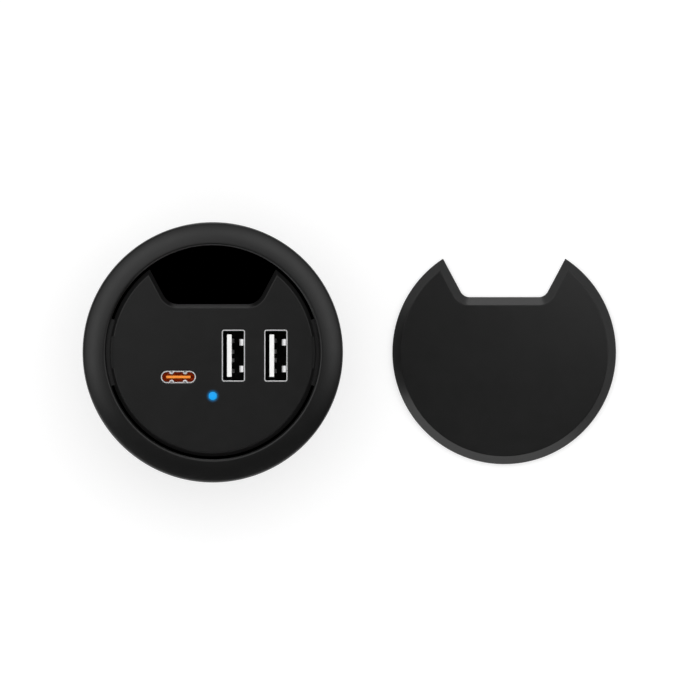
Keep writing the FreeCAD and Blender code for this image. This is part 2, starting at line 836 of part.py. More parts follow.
def chip_places():
    """One chip above the type C socket and one between each post and the indicator."""
    places = [upper_chip_place]
    for x, y in post_places():
        places.append((x - math.copysign(chip_post_distance, x), y + chip_post_rise))
    return places


def make_controller_chips():
    chips = [block(x, y, port_board_top, chip_side, chip_side, chip_height) for x, y in chip_places()]
    return Part.makeCompound(chips)


def make_chip_capacitors():
    """Two small ceramic blocks beside each controller chip."""
    pieces = []
    for x, y in chip_places():
        for side in (-1, 1):
            place_x = x + side * (chip_side + chip_capacitor_width + chip_capacitor_step) / 2
            piece = block(
                place_x, y, port_board_top, chip_capacitor_width, chip_capacitor_length, chip_capacitor_height
            )
            pieces.append(piece)
    return Part.makeCompound(pieces)


def make_dc_inlet_body():
    """Square body between the housing's floor and the power board, with a round bore from below."""
    body = block(inlet_x, inlet_y, housing_floor, inlet_side, inlet_side, inlet_length)
    return body.cut(rod(inlet_x, inlet_y, housing_floor, housing_floor + inlet_bore_depth, inlet_bore_radius))


def make_dc_inlet_pin():
    """Centre pin, rooted in the bottom of the bore."""
    low = housing_floor + inlet_pin_sink
    return rod(inlet_x, inlet_y, low, housing_floor + inlet_bore_depth, inlet_pin_radius)


def make_dc_inlet_spring():
    """Bent leaf that presses on the plug's barrel from the bore's wall."""
    high = housing_floor + inlet_bore_depth
    low = high - inlet_bore_depth * 0.7
    chord = math.sqrt(inlet_bore_radius**2 - (inlet_spring_width / 2) ** 2)
    wall = chord - inlet_spring_thickness - screw_clearance
    reach = high - low
    path = [(wall, high), (wall, high - 0.2 * reach)]
    path += [(wall - inlet_spring_bulge, high - 0.7 * reach), (wall, low)]
    spring = leaf_spring(path, inlet_spring_thickness, inlet_spring_width)
    spring.translate(Vector(inlet_x, inlet_y, 0))
    return spring


def make_cover_cap():
    """Shallow cap, bevelled all round, with two tabs below that drop between plate and ring."""
    cap = Part.Face(cover_outline(0.0, cover_base)).extrude(Vector(0, 0, cover_height))
    cap = cap.makeChamfer(cover_bevel, edges_at(cap, cover_base + cover_height))
    hollow = Part.Face(cover_outline(cover_wall, cover_base)).extrude(Vector(0, 0, cover_hollow_depth))
    cap = cap.cut(hollow)
    tab_outer = cover_radius - cover_wall + cover_tab_root
    tab_inner = tab_outer - cover_tab_thickness
    tab_angle = math.degrees(math.asin(cover_tab_half_width / tab_outer))
    tab_top = cover_base + cover_hollow_depth
    tabs = [sector(tab_inner, tab_outer, sleeve_bottom, tab_top, angle, tab_angle) for angle in (0.0, 180.0)]
    cap = cap.fuse(tabs)
    cap.translate(Vector(cover_x, 0, 0))
    return cap


def export(name, shape):
    """Write one piece as a STEP file and print what it holds."""
    shape.exportStep("parts/" + name + ".step")
    print(name, len(shape.Solids), "solid(s)", round(shape.Volume, 1), "mm3", "valid", shape.isValid())


os.makedirs("parts", exist_ok=True)

export("bezel_ring", make_bezel_ring())
export("cover_cap", make_cover_cap())
export("face_plate", make_face_plate())
export("rear_housing", make_rear_housing())
export("port_board", make_port_board())
export("power_board", make_power_board())
export("board_screws", make_board_screws())
export("board_header", make_board_header())
export("header_pins", make_header_pins())
for side, socket_x in (("left", usb_a_left_x), ("right", usb_a_right_x)):
    export("usb_a_" + side + "_shell", make_usb_a_shell(socket_x))
    export("usb_a_" + side + "_tongue", make_usb_a_tongue(socket_x))
    export("usb_a_" + side + "_contacts", make_usb_a_contacts(socket_x))
export("usb_c_shell", make_usb_c_shell())
export("usb_c_insulator", make_usb_c_insulator())
export("usb_c_tongue", make_usb_c_tongue())
export("usb_c_contacts", make_usb_c_contacts())
export("led_lens", make_led_lens())
export("led_chip", make_led_chip())
export("controller_chips", make_controller_chips())
export("chip_capacitors", make_chip_capacitors())
export("filter_capacitors", make_filter_capacitors())
export("power_inductors", make_power_inductors())
export("dc_inlet_body", make_dc_inlet_body())
export("dc_inlet_pin", make_dc_inlet_pin())
export("dc_inlet_spring", make_dc_inlet_spring())
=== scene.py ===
# %% [markdown]
# # A USB charger for a desk's cable hole
#
# The object is a round charger that drops into a 60 mm hole in a desk top. A convex bezel ring
# rests on the desk, a black insert with three sockets and a cable notch lies in the ring, and a
# loose cover cap lies beside them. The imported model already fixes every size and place. This
# script adds what the eye needs: smooth surfaces, rounded edges, finishes and light.

# %% Load the frame
import math

import bmesh
import bpy
import numpy as np
from mathutils import Matrix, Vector
from mathutils.geometry import delaunay_2d_cdt


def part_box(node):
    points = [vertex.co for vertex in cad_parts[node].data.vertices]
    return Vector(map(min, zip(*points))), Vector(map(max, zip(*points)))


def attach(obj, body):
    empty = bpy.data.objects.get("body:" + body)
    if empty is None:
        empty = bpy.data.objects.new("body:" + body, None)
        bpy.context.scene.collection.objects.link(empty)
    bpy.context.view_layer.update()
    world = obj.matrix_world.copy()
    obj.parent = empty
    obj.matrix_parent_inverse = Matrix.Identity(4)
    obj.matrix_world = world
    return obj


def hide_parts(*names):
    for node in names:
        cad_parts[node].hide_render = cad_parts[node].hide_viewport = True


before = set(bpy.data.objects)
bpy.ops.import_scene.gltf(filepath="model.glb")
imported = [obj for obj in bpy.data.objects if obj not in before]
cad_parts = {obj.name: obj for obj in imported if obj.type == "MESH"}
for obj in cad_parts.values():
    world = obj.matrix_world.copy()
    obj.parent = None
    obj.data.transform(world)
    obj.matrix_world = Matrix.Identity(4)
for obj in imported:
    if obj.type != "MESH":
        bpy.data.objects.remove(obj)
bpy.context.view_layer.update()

MM = 0.001
print("nodes in the frame:", len(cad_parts))

# %% [markdown]
# ## Working in millimetres
#
# The frame is in metres and the object's sizes are easier to read in millimetres. Each surface is
# worked out as an array of points in millimetres, and one function turns arrays into a mesh. A
# surface could also be drawn with Blender's own cylinders and bevels, but then its edges would
# not follow the notched outline that plate, cap and housing share.

# %% From arrays to a surface
SAME_POINT = 1e-4
FILL_PRECISION = 1e-5


def woven(points, close_rows=False, close_columns=False):
    """Quads between neighbouring points of a grid: rows run down, columns run across."""
    rows, columns = points.shape[:2]
    index = np.arange(rows * columns).reshape(rows, columns)
    if close_rows:
        index = np.vstack([index, index[:1]])
    if close_columns:
        index = np.hstack([index, index[:, :1]])
    quads = np.stack([index[:-1, :-1], index[:-1, 1:], index[1:, 1:], index[1:, :-1]], axis=-1)
    return points.reshape(-1, 3), quads.reshape(-1, 4).tolist()


def filled(loops, height):
    """Flat face at one height inside the first loop and outside the others, cut into triangles."""
    steps = [np.linalg.norm(loop - np.roll(loop, 1, axis=0), axis=1) for loop in loops]
    rims = [loop[step > SAME_POINT] for loop, step in zip(loops, steps)]
    ends = np.cumsum([len(rim) for rim in rims]).tolist()
    borders = [list(range(end - len(rim), end)) for rim, end in zip(rims, ends)]
    places, _, faces, *_ = delaunay_2d_cdt(np.vstack(rims).tolist(), [], borders, 2, FILL_PRECISION)
    flat = np.array(places)
    return np.column_stack([flat, np.full(len(flat), height)]), faces


def moved(surface, x, y=0.0):
    """The same surface in another place at the same height."""
    points, faces = surface
    return points + np.array([x, y, 0.0]), faces


def joined(surfaces):
    """Several surfaces as one array of points and one list of faces."""
    faces = []
    start = 0
    for points, group in surfaces:
        faces += [[corner + start for corner in face] for face in group]
        start += len(points)
    return np.vstack([points for points, _ in surfaces]), faces


small_grid = woven(np.zeros((3, 4, 3)))
print("faces of a grid of 3 by 4 points:", len(small_grid[1]))

# %% [markdown]
# ## From a surface to a piece
#
# A piece is made of one or more surfaces that share their border points. They are welded there, so
# that the skin is closed, and all faces are turned outwards. Shading is smooth except at edges
# sharper than 40 degrees. Each piece rides on the body that carries it and stands for the plain
# CAD node of the same part.

# %% From a surface to a piece
MERGE_DISTANCE = 2e-6
SHARP_ANGLE = math.radians(40)


def mesh_of(name, surface):
    """Mesh of one surface, its millimetres turned into the frame's metres."""
    points, faces = surface
    mesh = bpy.data.meshes.new(name)
    mesh.from_pydata((points * MM).tolist(), [], faces)
    return mesh


def new_object(name, data):
    """Object that shows its data, linked to the scene."""
    made = bpy.data.objects.new(name, data)
    bpy.context.scene.collection.objects.link(made)
    return made


def outward_skin(mesh):
    """Weld points that meet, turn all faces outwards and count the edges left open."""
    work = bmesh.new()
    work.from_mesh(mesh)
    bmesh.ops.remove_doubles(work, verts=work.verts, dist=MERGE_DISTANCE)
    bmesh.ops.dissolve_degenerate(work, edges=work.edges, dist=MERGE_DISTANCE / 2)
    bmesh.ops.recalc_face_normals(work, faces=work.faces)
    open_edges = sum(1 for edge in work.edges if len(edge.link_faces) != 2)
    work.to_mesh(mesh)
    work.free()
    return open_edges


def piece(name, surfaces, finish, body, stands_for=()):
    """One closed mesh of several surfaces, riding on its body and standing for its CAD nodes."""
    mesh = mesh_of(name, joined(surfaces))
    open_edges = outward_skin(mesh)
    mesh.shade_smooth()
    mesh.set_sharp_from_angle(angle=SHARP_ANGLE)
    mesh.materials.append(finish)
    made = new_object(name, mesh)
    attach(made, body)
    if stands_for:
        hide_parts(*stands_for)
    print(name, len(mesh.polygons), "faces, edges that aren't between two faces:", open_edges)
    return made


# %% [markdown]
# ## Outlines
#
# Three outlines make the whole object: a circle, a rectangle with round corners, and a circle
# with the cable notch cut in it. Each is a function of how far it is drawn in, so a rounded edge
# is the same outline drawn in a little further at each height. All give their points
# anticlockwise seen from above.

# %% Circle and round-cornered rectangle
def circle(radius, count=96):
    """Points x = r cos a, y = r sin a at equal angles."""
    turn = np.linspace(0, 2 * np.pi, count, endpoint=False)
    return np.stack([radius * np.cos(turn), radius * np.sin(turn)], axis=1)


def rounded_rectangle(width, depth, corner, grow=0.0, per_corner=8):
    """Four quarter circles, one round each corner's centre; grow moves the whole outline out."""
    quarter = np.linspace(0, np.pi / 2, per_corner)
    runs = []
    for number, (side_x, side_y) in enumerate([(1, 1), (-1, 1), (-1, -1), (1, -1)]):
        turn = quarter + number * np.pi / 2
        centre_x = side_x * (width / 2 - corner)
        centre_y = side_y * (depth / 2 - corner)
        run_x = centre_x + (corner + grow) * np.cos(turn)
        run_y = centre_y + (corner + grow) * np.sin(turn)
        runs.append(np.stack([run_x, run_y], axis=1))
    return np.vstack(runs)


print("points round a circle:", len(circle(1.0)), "and a rectangle:", len(rounded_rectangle(2.0, 2.0, 0.5)))

# %% [markdown]
# ## The notched circle
#
# The notch has a straight floor and two sides that lean out by 28 degrees. When the outline is
# drawn in by a distance d, the floor drops by d, the side lines move out by d, and the round
# corners between them grow by d. Working this out once gives every wall, bevel and board its
# right place. The big arc takes a list of angles, so that steps for the ledges fall on a point.

# %% Notched circle
NOTCH_SLANT = math.radians(28.0)
ARC_STEP = math.radians(1.5)
ARC_POINTS = 200
TIP_RUN_POINTS = 24
SIDE_POINTS = 12
BEND_POINTS = 14


def arc_angles(start, end, stops=()):
    """Angles from start to end with each stop given twice.

    The runs next to the tips have a fixed count, so outlines of any inset match point for point.
    """
    marks = [start, *stops, end]
    runs = []
    for number, (first, last) in enumerate(zip(marks, marks[1:])):
        count = max(2, int((last - first) / ARC_STEP) + 1)
        if number in (0, len(marks) - 2):
            count = TIP_RUN_POINTS if stops else ARC_POINTS
        runs.append(np.linspace(first, last, count))
    return np.concatenate(runs)


def notched_circle(radius, floor, half_width, corner, inset, stops=()):
    """Points along the notched outline, and the angle of each point on its big arc.

    The side line leaves the floor at half_width; the tip is where that line meets the circle,
    found from |corner + t * direction| = radius. Points off the big arc have the angle nan.
    """
    reach = radius - inset
    floor_y = floor - inset
    corner_x = half_width + inset * math.tan(math.pi / 4 - NOTCH_SLANT / 2)
    round_radius = corner + inset
    half_turn = (math.pi / 2 - NOTCH_SLANT) / 2
    trim = round_radius * math.tan(half_turn)
    up = np.array([math.sin(NOTCH_SLANT), math.cos(NOTCH_SLANT)])
    foot = np.array([corner_x, floor_y])
    along = foot @ up
    tip = foot + up * (math.sqrt(along**2 - foot @ foot + reach**2) - along)
    tip_angle = math.atan2(tip[1], tip[0])
    turn = arc_angles(math.pi - tip_angle, 2 * math.pi + tip_angle, stops)
    big_arc = np.stack([reach * np.cos(turn), reach * np.sin(turn)], axis=1)
    side = tip + np.linspace(0, 1, SIDE_POINTS)[1:-1, None] * (foot + up * trim - tip)
    bend = np.linspace(-NOTCH_SLANT, -math.pi / 2, BEND_POINTS)
    centre = np.array([corner_x - trim, floor_y + round_radius])
    corner_arc = centre + round_radius * np.stack([np.cos(bend), np.sin(bend)], axis=1)
    right_half = np.vstack([side, corner_arc])
    left_half = right_half[::-1] * np.array([-1.0, 1.0])
    outline = np.vstack([big_arc, right_half, left_half])
    angles = np.concatenate([turn, np.full(2 * len(right_half), np.nan)])
    return outline, angles


print("notch slant:", round(math.degrees(NOTCH_SLANT)), "degrees, points on the big arc:", ARC_POINTS)

# %% [markdown]
# ## Walls that follow an outline
#
# A wall is a profile of inset and height carried round an outline. Turned parts such as the
# ring are the same idea with a circle as the outline, so their profile is a list of radius and
# height.

# %% Walls, turned parts and rounded edges
BLEND_MIDDLE = 0.3


def wall(outlines, heights, close_rows=False):
    """Grid of one outline per row, each lifted to its own height."""
    rows = [np.column_stack([line, np.full(len(line), high)]) for line, high in zip(outlines, heights)]
    return woven(np.stack(rows), close_rows=close_rows, close_columns=True)


def turned(profile, start=0.0, end=2 * math.pi, count=192, closed=True):
    """Profile of radius and height turned about the Z axis, capped where the turn isn't whole."""
    profile = np.asarray(profile, float)
    whole = math.isclose(end - start, 2 * math.pi)
    turn = np.linspace(start, end, count, endpoint=not whole)
    points = np.empty((len(profile), len(turn), 3))
    points[:, :, 0] = profile[:, :1] * np.cos(turn)
    points[:, :, 1] = profile[:, :1] * np.sin(turn)
    points[:, :, 2] = profile[:, 1:]
    surface, faces = woven(points, close_rows=closed, close_columns=whole)
    if not whole:
        index = np.arange(len(profile)) * len(turn)
        faces += [index.tolist(), (index + len(turn) - 1).tolist()]
    return surface, faces


def quarter_round(radius, steps=5):
    """Inset and drop of a rounded edge, from the side wall (inset 0) to the top (drop 0)."""
    turn = np.linspace(0, np.pi / 2, steps)
    return radius * (1 - np.cos(turn)), radius * (1 - np.sin(turn))


def bevelled_edge(width, blend):
    """Inset and drop over a 45 degree bevel, from side wall to top, with both its corners blended.

    The bevel runs from inset 0, drop width to inset width, drop 0. Each corner is cut short by
    blend, with a row near its middle that rounds it. A row just inside each blend, at hold, keeps
    the bevel's own shading level.
    """
    slope = blend * math.sqrt(0.5)
    near = BLEND_MIDDLE * slope
    hold = 2 * slope
    insets = [0.0, near, slope, hold, width - hold, width - slope, width - near, width + blend]
    drops = [width + blend, width + near, width - slope, width - hold, hold, slope, near, 0.0]
    return np.array(insets), np.array(drops)


def arc_points(centre_r, centre_z, radius, start, end, steps):
    """Points on an arc given by its centre, in the plane of radius and height."""
    turn = np.linspace(start, end, steps)
    return np.stack([centre_r + radius * np.cos(turn), centre_z + radius * np.sin(turn)], axis=1)


print("rows over a bevel:", len(bevelled_edge(1.0, 0.1)[0]))

# %% [markdown]
# ## Shaders and the sums behind them
#
# Every finish is a Principled shader. What is the same all over it, such as how metallic it is, is
# a plain number on the shader's own socket. What changes from place to place comes through small
# nodes that calculate. They could be wired by hand each time, but a function for each kind of node
# keeps a finish to a few readable lines.

# %% Shader and nodes that calculate
def new_finish(name, colour, rough, metal=0.0, specular=0.5):
    """Principled material with its constants set on the shader's own sockets."""
    finish = bpy.data.materials.new(name)
    finish.use_nodes = True
    shader = finish.node_tree.nodes["Principled BSDF"]
    shader.inputs["Base Color"].default_value = (*colour, 1.0)
    shader.inputs["Roughness"].default_value = rough
    shader.inputs["Metallic"].default_value = metal
    shader.inputs["Specular IOR Level"].default_value = specular
    return finish, finish.node_tree, shader


def arithmetic(tree, operation, *values):
    """Math node on two or three values, each a number or another node's output."""
    node = tree.nodes.new("ShaderNodeMath")
    node.operation = operation
    for number, value in enumerate(values):
        if isinstance(value, (int, float)):
            node.inputs[number].default_value = value
        else:
            tree.links.new(value, node.inputs[number])
    return node.outputs["Value"]


def vector_node(tree, operation, vector, other=(0.0, 0.0, 0.0)):
    """Vector Math node on another node's output and, where it takes a second one, a constant."""
    node = tree.nodes.new("ShaderNodeVectorMath")
    node.operation = operation
    node.inputs[1].default_value = other
    tree.links.new(vector, node.inputs[0])
    return node


def ranged(tree, value, source, target=(0.0, 1.0)):
    """The value carried from the source range to the target range, and held inside it."""
    node = tree.nodes.new("ShaderNodeMapRange")
    for socket, end in zip(("From Min", "From Max", "To Min", "To Max"), (*source, *target)):
        node.inputs[socket].default_value = end
    tree.links.new(value, node.inputs["Value"])
    return node.outputs["Result"]


print("materials that come with the frame:", len(bpy.data.materials))

# %% [markdown]
# ## Noise, uneven colour and bump
#
# Colour, gloss and bump of a moulded or drawn surface vary a little. A painted image could hold
# all this, but noise in object coordinates needs no seams and keeps its real size. The noise's
# values lie mostly between 0.3 and 0.7, and that range is spread over the low and high value of a
# finish.

# %% Noise, uneven colour and bump
NOISE_RANGE = (0.3, 0.7)


def noise(tree, size_mm, detail=2.0, stretch=(1.0, 1.0, 1.0)):
    """Noise in object coordinates whose grains are about size_mm wide."""
    place = tree.nodes.new("ShaderNodeTexCoord")
    mapping = tree.nodes.new("ShaderNodeMapping")
    mapping.inputs["Scale"].default_value = tuple(1 / (size_mm * MM) * factor for factor in stretch)
    tree.links.new(place.outputs["Object"], mapping.inputs["Vector"])
    texture = tree.nodes.new("ShaderNodeTexNoise")
    texture.inputs["Scale"].default_value = 1.0
    texture.inputs["Detail"].default_value = detail
    tree.links.new(mapping.outputs["Vector"], texture.inputs["Vector"])
    return texture.outputs["Fac"]


def uneven_colour(tree, source, dark, light, socket):
    """Blend two colours by a noise."""
    ramp = tree.nodes.new("ShaderNodeValToRGB")
    ends = zip(ramp.color_ramp.elements, NOISE_RANGE, (dark, light))
    for element, position, colour in ends:
        element.position = position
        element.color = (*colour, 1.0)
    tree.links.new(source, ramp.inputs["Fac"])
    tree.links.new(ramp.outputs["Color"], socket)


def bump(tree, shader, source, height_mm, strength):
    """Let a noise raise and lower the surface a little in the shading."""
    node = tree.nodes.new("ShaderNodeBump")
    node.inputs["Strength"].default_value = strength
    node.inputs["Distance"].default_value = height_mm * MM
    tree.links.new(source, node.inputs["Height"])
    tree.links.new(node.outputs["Normal"], shader.inputs["Normal"])


print("range of a noise:", NOISE_RANGE)

# %% [markdown]
# ## Plastics
#
# Ring, plate, housing and cap are ABS, moulded in a tool with a fine spark-eroded skin. That skin
# is a bump with grains a quarter of a millimetre wide, too fine to see one by one but enough to
# spread the highlights. A little unevenness in colour and gloss, a few millimetres wide, keeps the
# large flat faces from looking drawn. The small mouldings in the sockets have a finer skin.

# %% Moulded plastic
COLOUR_PATCH_MM = 6.0
GLOSS_PATCH_MM = 2.5
GLOSS_SPREAD = 0.015
GRAIN_STRENGTH = 0.08


def moulded_plastic(name, dark, light, rough, grain_mm=0.25, grain_height_mm=0.01, specular=0.5):
    """Plastic with uneven colour and gloss and a fine moulded grain."""
    finish, tree, shader = new_finish(name, light, rough, specular=specular)
    patches = noise(tree, COLOUR_PATCH_MM, detail=3.0)
    uneven_colour(tree, patches, dark, light, shader.inputs["Base Color"])
    gloss = noise(tree, GLOSS_PATCH_MM)
    around = (rough - GLOSS_SPREAD, rough + GLOSS_SPREAD)
    tree.links.new(ranged(tree, gloss, NOISE_RANGE, around), shader.inputs["Roughness"])
    bump(tree, shader, noise(tree, grain_mm, detail=1.0), grain_height_mm, GRAIN_STRENGTH)
    return finish


def grey(level):
    """Colour with the same share of red, green and blue."""
    return (level, level, level)


FINE_GRAIN = dict(grain_mm=0.15, grain_height_mm=0.004)
shell_plastic = moulded_plastic("black_shell", grey(0.007), grey(0.008), 0.3)
trim_plastic = moulded_plastic("black_trim", grey(0.02), grey(0.027), 0.45)
# Near black and dull: painted shade that makes the foot of the type A sockets look deep.
socket_floor_painted_shade = moulded_plastic("socket_floor_painted_shade", grey(0.001), grey(0.002), 0.6, specular=0.1)
white_tongue = moulded_plastic("white_tongue", (0.9, 0.9, 0.89), (0.95, 0.95, 0.94), 0.4, **FINE_GRAIN)
orange_tongue = moulded_plastic(
    "orange_tongue", (0.98, 0.29, 0.03), (1.0, 0.32, 0.04), 0.35, specular=0.3, **FINE_GRAIN
)
# Redder and duller than the tongue: painted shade for the orange plastic deep in the socket.
orange_moulding = moulded_plastic(
    "orange_moulding", (0.85, 0.08, 0.004), (1.0, 0.1, 0.006), 0.5, specular=0.1, **FINE_GRAIN
)
print("materials, those of the frame included:", len(bpy.data.materials))

# %% [markdown]
# ## Metals
#
# Socket shells are tin-plated steel, drawn through a tool that leaves fine marks along the
# plug's way. The noise is therefore ten times longer in height than in width. The plating is
# satin, so the steel of the sockets is metal only in part.

# %% Drawn metal
METAL_PATCH_MM = 1.5
METAL_GLOSS_SPREAD = 0.06
METAL_SHADE = 0.9
BRUSH_MM = 0.3
BRUSH_STRETCH = (1.0, 1.0, 0.1)
BRUSH_HEIGHT_MM = 0.001
BRUSH_STRENGTH = 0.15


def metal(name, colour, rough, share=1.0):
    """Metal with fine drawing marks along Z; a satin plating is metal only in share."""
    finish, tree, shader = new_finish(name, colour, rough, metal=share)
    marks = noise(tree, BRUSH_MM, stretch=BRUSH_STRETCH)
    around = (rough - METAL_GLOSS_SPREAD, rough + METAL_GLOSS_SPREAD)
    tree.links.new(ranged(tree, marks, NOISE_RANGE, around), shader.inputs["Roughness"])
    dark = tuple(METAL_SHADE * channel for channel in colour)
    uneven_colour(tree, noise(tree, METAL_PATCH_MM), dark, colour, shader.inputs["Base Color"])
    bump(tree, shader, marks, BRUSH_HEIGHT_MM, BRUSH_STRENGTH)
    return finish


socket_steel = metal("socket_steel", (0.93, 0.93, 0.94), 0.32, share=0.7)
screw_steel = metal("screw_steel", (0.62, 0.63, 0.65), 0.35)
contact_metal = metal("socket_contact", grey(0.55), 0.4)
gold = metal("gold_contact", (0.9, 0.62, 0.25), 0.3)
can_metal = metal("capacitor_can", (0.75, 0.76, 0.78), 0.3)
print("materials with the metals:", len(bpy.data.materials))

# %% [markdown]
# ## The bezel ring
#
# The ring is one moulding: a flange 66 mm across with a convex crown, and a sleeve that reaches
# 36 mm down into the desk. Light runs round the crown in an even band because its section is an
# arc that starts almost level at the bore and steepens to 29 degrees at the rim. The section is
# worked out from those two slopes, so both ends meet their rounded edges without a crease.

# %% Section of the flange
DESK_HOLE_RADIUS = 30.0
SLEEVE_CLEARANCE = 0.4
SLEEVE_THICKNESS = 1.6
SLEEVE_OUTER = DESK_HOLE_RADIUS - SLEEVE_CLEARANCE
SLEEVE_INNER = SLEEVE_OUTER - SLEEVE_THICKNESS
ring_low, ring_high = (np.array(corner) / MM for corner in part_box("bezel_ring"))
SLEEVE_BOTTOM = ring_low[2]
FLANGE_TOP = ring_high[2]
FLANGE_RADIUS = 33.0
BORE_RADIUS = 27.05
BORE_EDGE = 0.7
RIM_ROUND = 0.9
CROWN_INNER_TILT = math.radians(8.0)
CROWN_OUTER_TILT = math.radians(29.0)
FLANGE_FOOT_ROUND = 0.15
BORE_LAND = -3.0
SLEEVE_SEAM = -5.0


def flange_section():
    """Radius and height round the flange: bore edge, crown arc, rim, underside, neck and bore."""
    up = math.pi / 2
    edge_r = BORE_RADIUS + BORE_EDGE
    edge_z = FLANGE_TOP - BORE_EDGE
    crown_in_r = edge_r + BORE_EDGE * math.sin(CROWN_INNER_TILT)
    crown_in_z = edge_z + BORE_EDGE * math.cos(CROWN_INNER_TILT)
    crown_out_r = FLANGE_RADIUS - RIM_ROUND * (1 - math.sin(CROWN_OUTER_TILT))
    slope_change = math.sin(CROWN_OUTER_TILT) - math.sin(CROWN_INNER_TILT)
    crown = (crown_out_r - crown_in_r) / slope_change
    centre_r = crown_in_r - crown * math.sin(CROWN_INNER_TILT)
    centre_z = crown_in_z - crown * math.cos(CROWN_INNER_TILT)
    rim_r = FLANGE_RADIUS - RIM_ROUND
    rim_z = centre_z + (crown - RIM_ROUND) * math.cos(CROWN_OUTER_TILT)
    foot_r = FLANGE_RADIUS - FLANGE_FOOT_ROUND
    edge = arc_points(edge_r, edge_z, BORE_EDGE, math.pi, up - CROWN_INNER_TILT, 9)
    crown_arc = arc_points(centre_r, centre_z, crown, up - CROWN_INNER_TILT, up - CROWN_OUTER_TILT, 20)
    rim = arc_points(rim_r, rim_z, RIM_ROUND, up - CROWN_OUTER_TILT, 0, 8)
    rim_foot = arc_points(foot_r, FLANGE_FOOT_ROUND, FLANGE_FOOT_ROUND, 0, -up, 4)
    land_step = SLEEVE_INNER - BORE_RADIUS
    rest = [(SLEEVE_OUTER, 0.0), (SLEEVE_OUTER, SLEEVE_SEAM), (SLEEVE_INNER, SLEEVE_SEAM)]
    rest += [(SLEEVE_INNER, BORE_LAND - land_step), (BORE_RADIUS, BORE_LAND)]
    return np.vstack([edge, crown_arc[1:], rim[1:], rim_foot, rest])


section = flange_section()
print("flange section points:", len(section), "crown top at", round(section[:, 1].max(), 2), "mm")

# %% [markdown]
# ## Slots of the sleeve
#
# Below the flange the sleeve is a plain tube with four U-shaped slots. Each slot frees a spring
# tongue that grips the hole. The tube is a grid of angle and height with a line on every edge of a
# slot, and the cells inside the slots are left out. Cutting the slots out of a whole tube would do
# too, but leaves untidy faces.

# %% Grid of the sleeve and its slots
TONGUE_ANGLES = [math.radians(45 + 90 * number) for number in range(4)]
TONGUE_WIDTH = 10.0
SLOT_WIDTH = 1.5
TONGUE_ROOT = -8.0
TONGUE_END = TONGUE_ROOT - 20.0
TONGUE_ROWS = [-14.0, -20.0]
FOOT_CHAMFER = 0.5
COLUMN_COUNT = 144
COLUMN_SHIFT = 0.3
NEAR_SLOT = 0.01
HALF_TONGUE = TONGUE_WIDTH / 2 / SLEEVE_OUTER
HALF_SLOT = SLOT_WIDTH / 2 / SLEEVE_OUTER


def sleeve_grid():
    """Angles and heights of the sleeve's grid, with lines on every slot's edge.

    The other lines are evenly spaced, turned by COLUMN_SHIFT of a step so that none of them meets
    a point of the flange, and left out where they come too near a slot's edge.
    """
    far = HALF_TONGUE + 2 * HALF_SLOT
    edges = np.add.outer(TONGUE_ANGLES, [-far, -HALF_TONGUE, HALF_TONGUE, far]).ravel()
    even = (np.arange(COLUMN_COUNT) + COLUMN_SHIFT) * 2 * math.pi / COLUMN_COUNT
    clear = np.abs(even[:, None] - edges[None, :]).min(axis=1) > NEAR_SLOT
    turns = np.sort(np.concatenate([even[clear], edges]))
    heights = [SLEEVE_SEAM, TONGUE_ROOT, *TONGUE_ROWS, TONGUE_END, TONGUE_END - SLOT_WIDTH]
    heights += [SLEEVE_BOTTOM + FOOT_CHAMFER, SLEEVE_BOTTOM]
    return turns, np.array(heights)


def wall_cells(turns, heights):
    """Row and column of each cell of the sleeve's grid that no slot takes away."""
    gap = (np.roll(turns, -1) - turns) % (2 * math.pi)
    cell_turn = turns + gap / 2
    cell_height = (heights[:-1] + heights[1:]) / 2
    in_row = (cell_height < TONGUE_ROOT) & (cell_height > TONGUE_END - SLOT_WIDTH)
    kept = np.ones((len(cell_height), len(cell_turn)), bool)
    for middle in TONGUE_ANGLES:
        away = np.abs((cell_turn - middle + math.pi) % (2 * math.pi) - math.pi)
        beside = (away > HALF_TONGUE) & (away < HALF_TONGUE + 2 * HALF_SLOT)
        below = (away < HALF_TONGUE + 2 * HALF_SLOT) & (cell_height[:, None] < TONGUE_END)
        kept &= ~(in_row[:, None] & (beside[None, :] | below))
    return np.nonzero(kept)


print("cells of the sleeve's wall:", len(wall_cells(*sleeve_grid())[0]))

# %% [markdown]
# ## The sleeve's wall
#
# The wall has an outer and an inner skin. Both get the same cells, the inner ones turned round. An
# edge with a face on one side only lies on a border of the wall or of a slot, and a strip from
# there to the same edge of the other skin closes it. A Solidify modifier could give the thickness,
# but here both radii come out exact.

# %% Sleeve
def sleeve_wall():
    """Tube wall with slots: outer and inner grids, and a strip along every open border."""
    turns, heights = sleeve_grid()
    columns = len(turns)
    rows = len(heights)
    outer_r = np.full(rows, SLEEVE_OUTER)
    outer_r[-1] -= FOOT_CHAMFER
    grids = []
    for radii in (outer_r, np.full(rows, SLEEVE_INNER)):
        grid = np.empty((rows, columns, 3))
        grid[:, :, 0] = radii[:, None] * np.cos(turns)
        grid[:, :, 1] = radii[:, None] * np.sin(turns)
        grid[:, :, 2] = heights[:, None]
        grids.append(grid.reshape(-1, 3))
    row, column = wall_cells(turns, heights)
    following = (column + 1) % columns
    index = np.arange(rows * columns).reshape(rows, columns)
    corners = [index[row, column], index[row, following]]
    corners += [index[row + 1, following], index[row + 1, column]]
    quads = np.stack(corners, axis=1)
    offset = rows * columns
    edges = np.concatenate([quads[:, [side, (side + 1) % 4]] for side in range(4)])
    keys = np.sort(edges, axis=1)
    _, first, counts = np.unique(keys, axis=0, return_index=True, return_counts=True)
    border = edges[first[counts == 1]]
    strip = np.column_stack([border[:, 1], border[:, 0], border[:, 0] + offset, border[:, 1] + offset])
    faces = np.vstack([quads, quads[:, ::-1] + offset, strip])
    return np.vstack(grids), faces.tolist()


sleeve = sleeve_wall()
print("sleeve points and faces:", len(sleeve[0]), len(sleeve[1]))

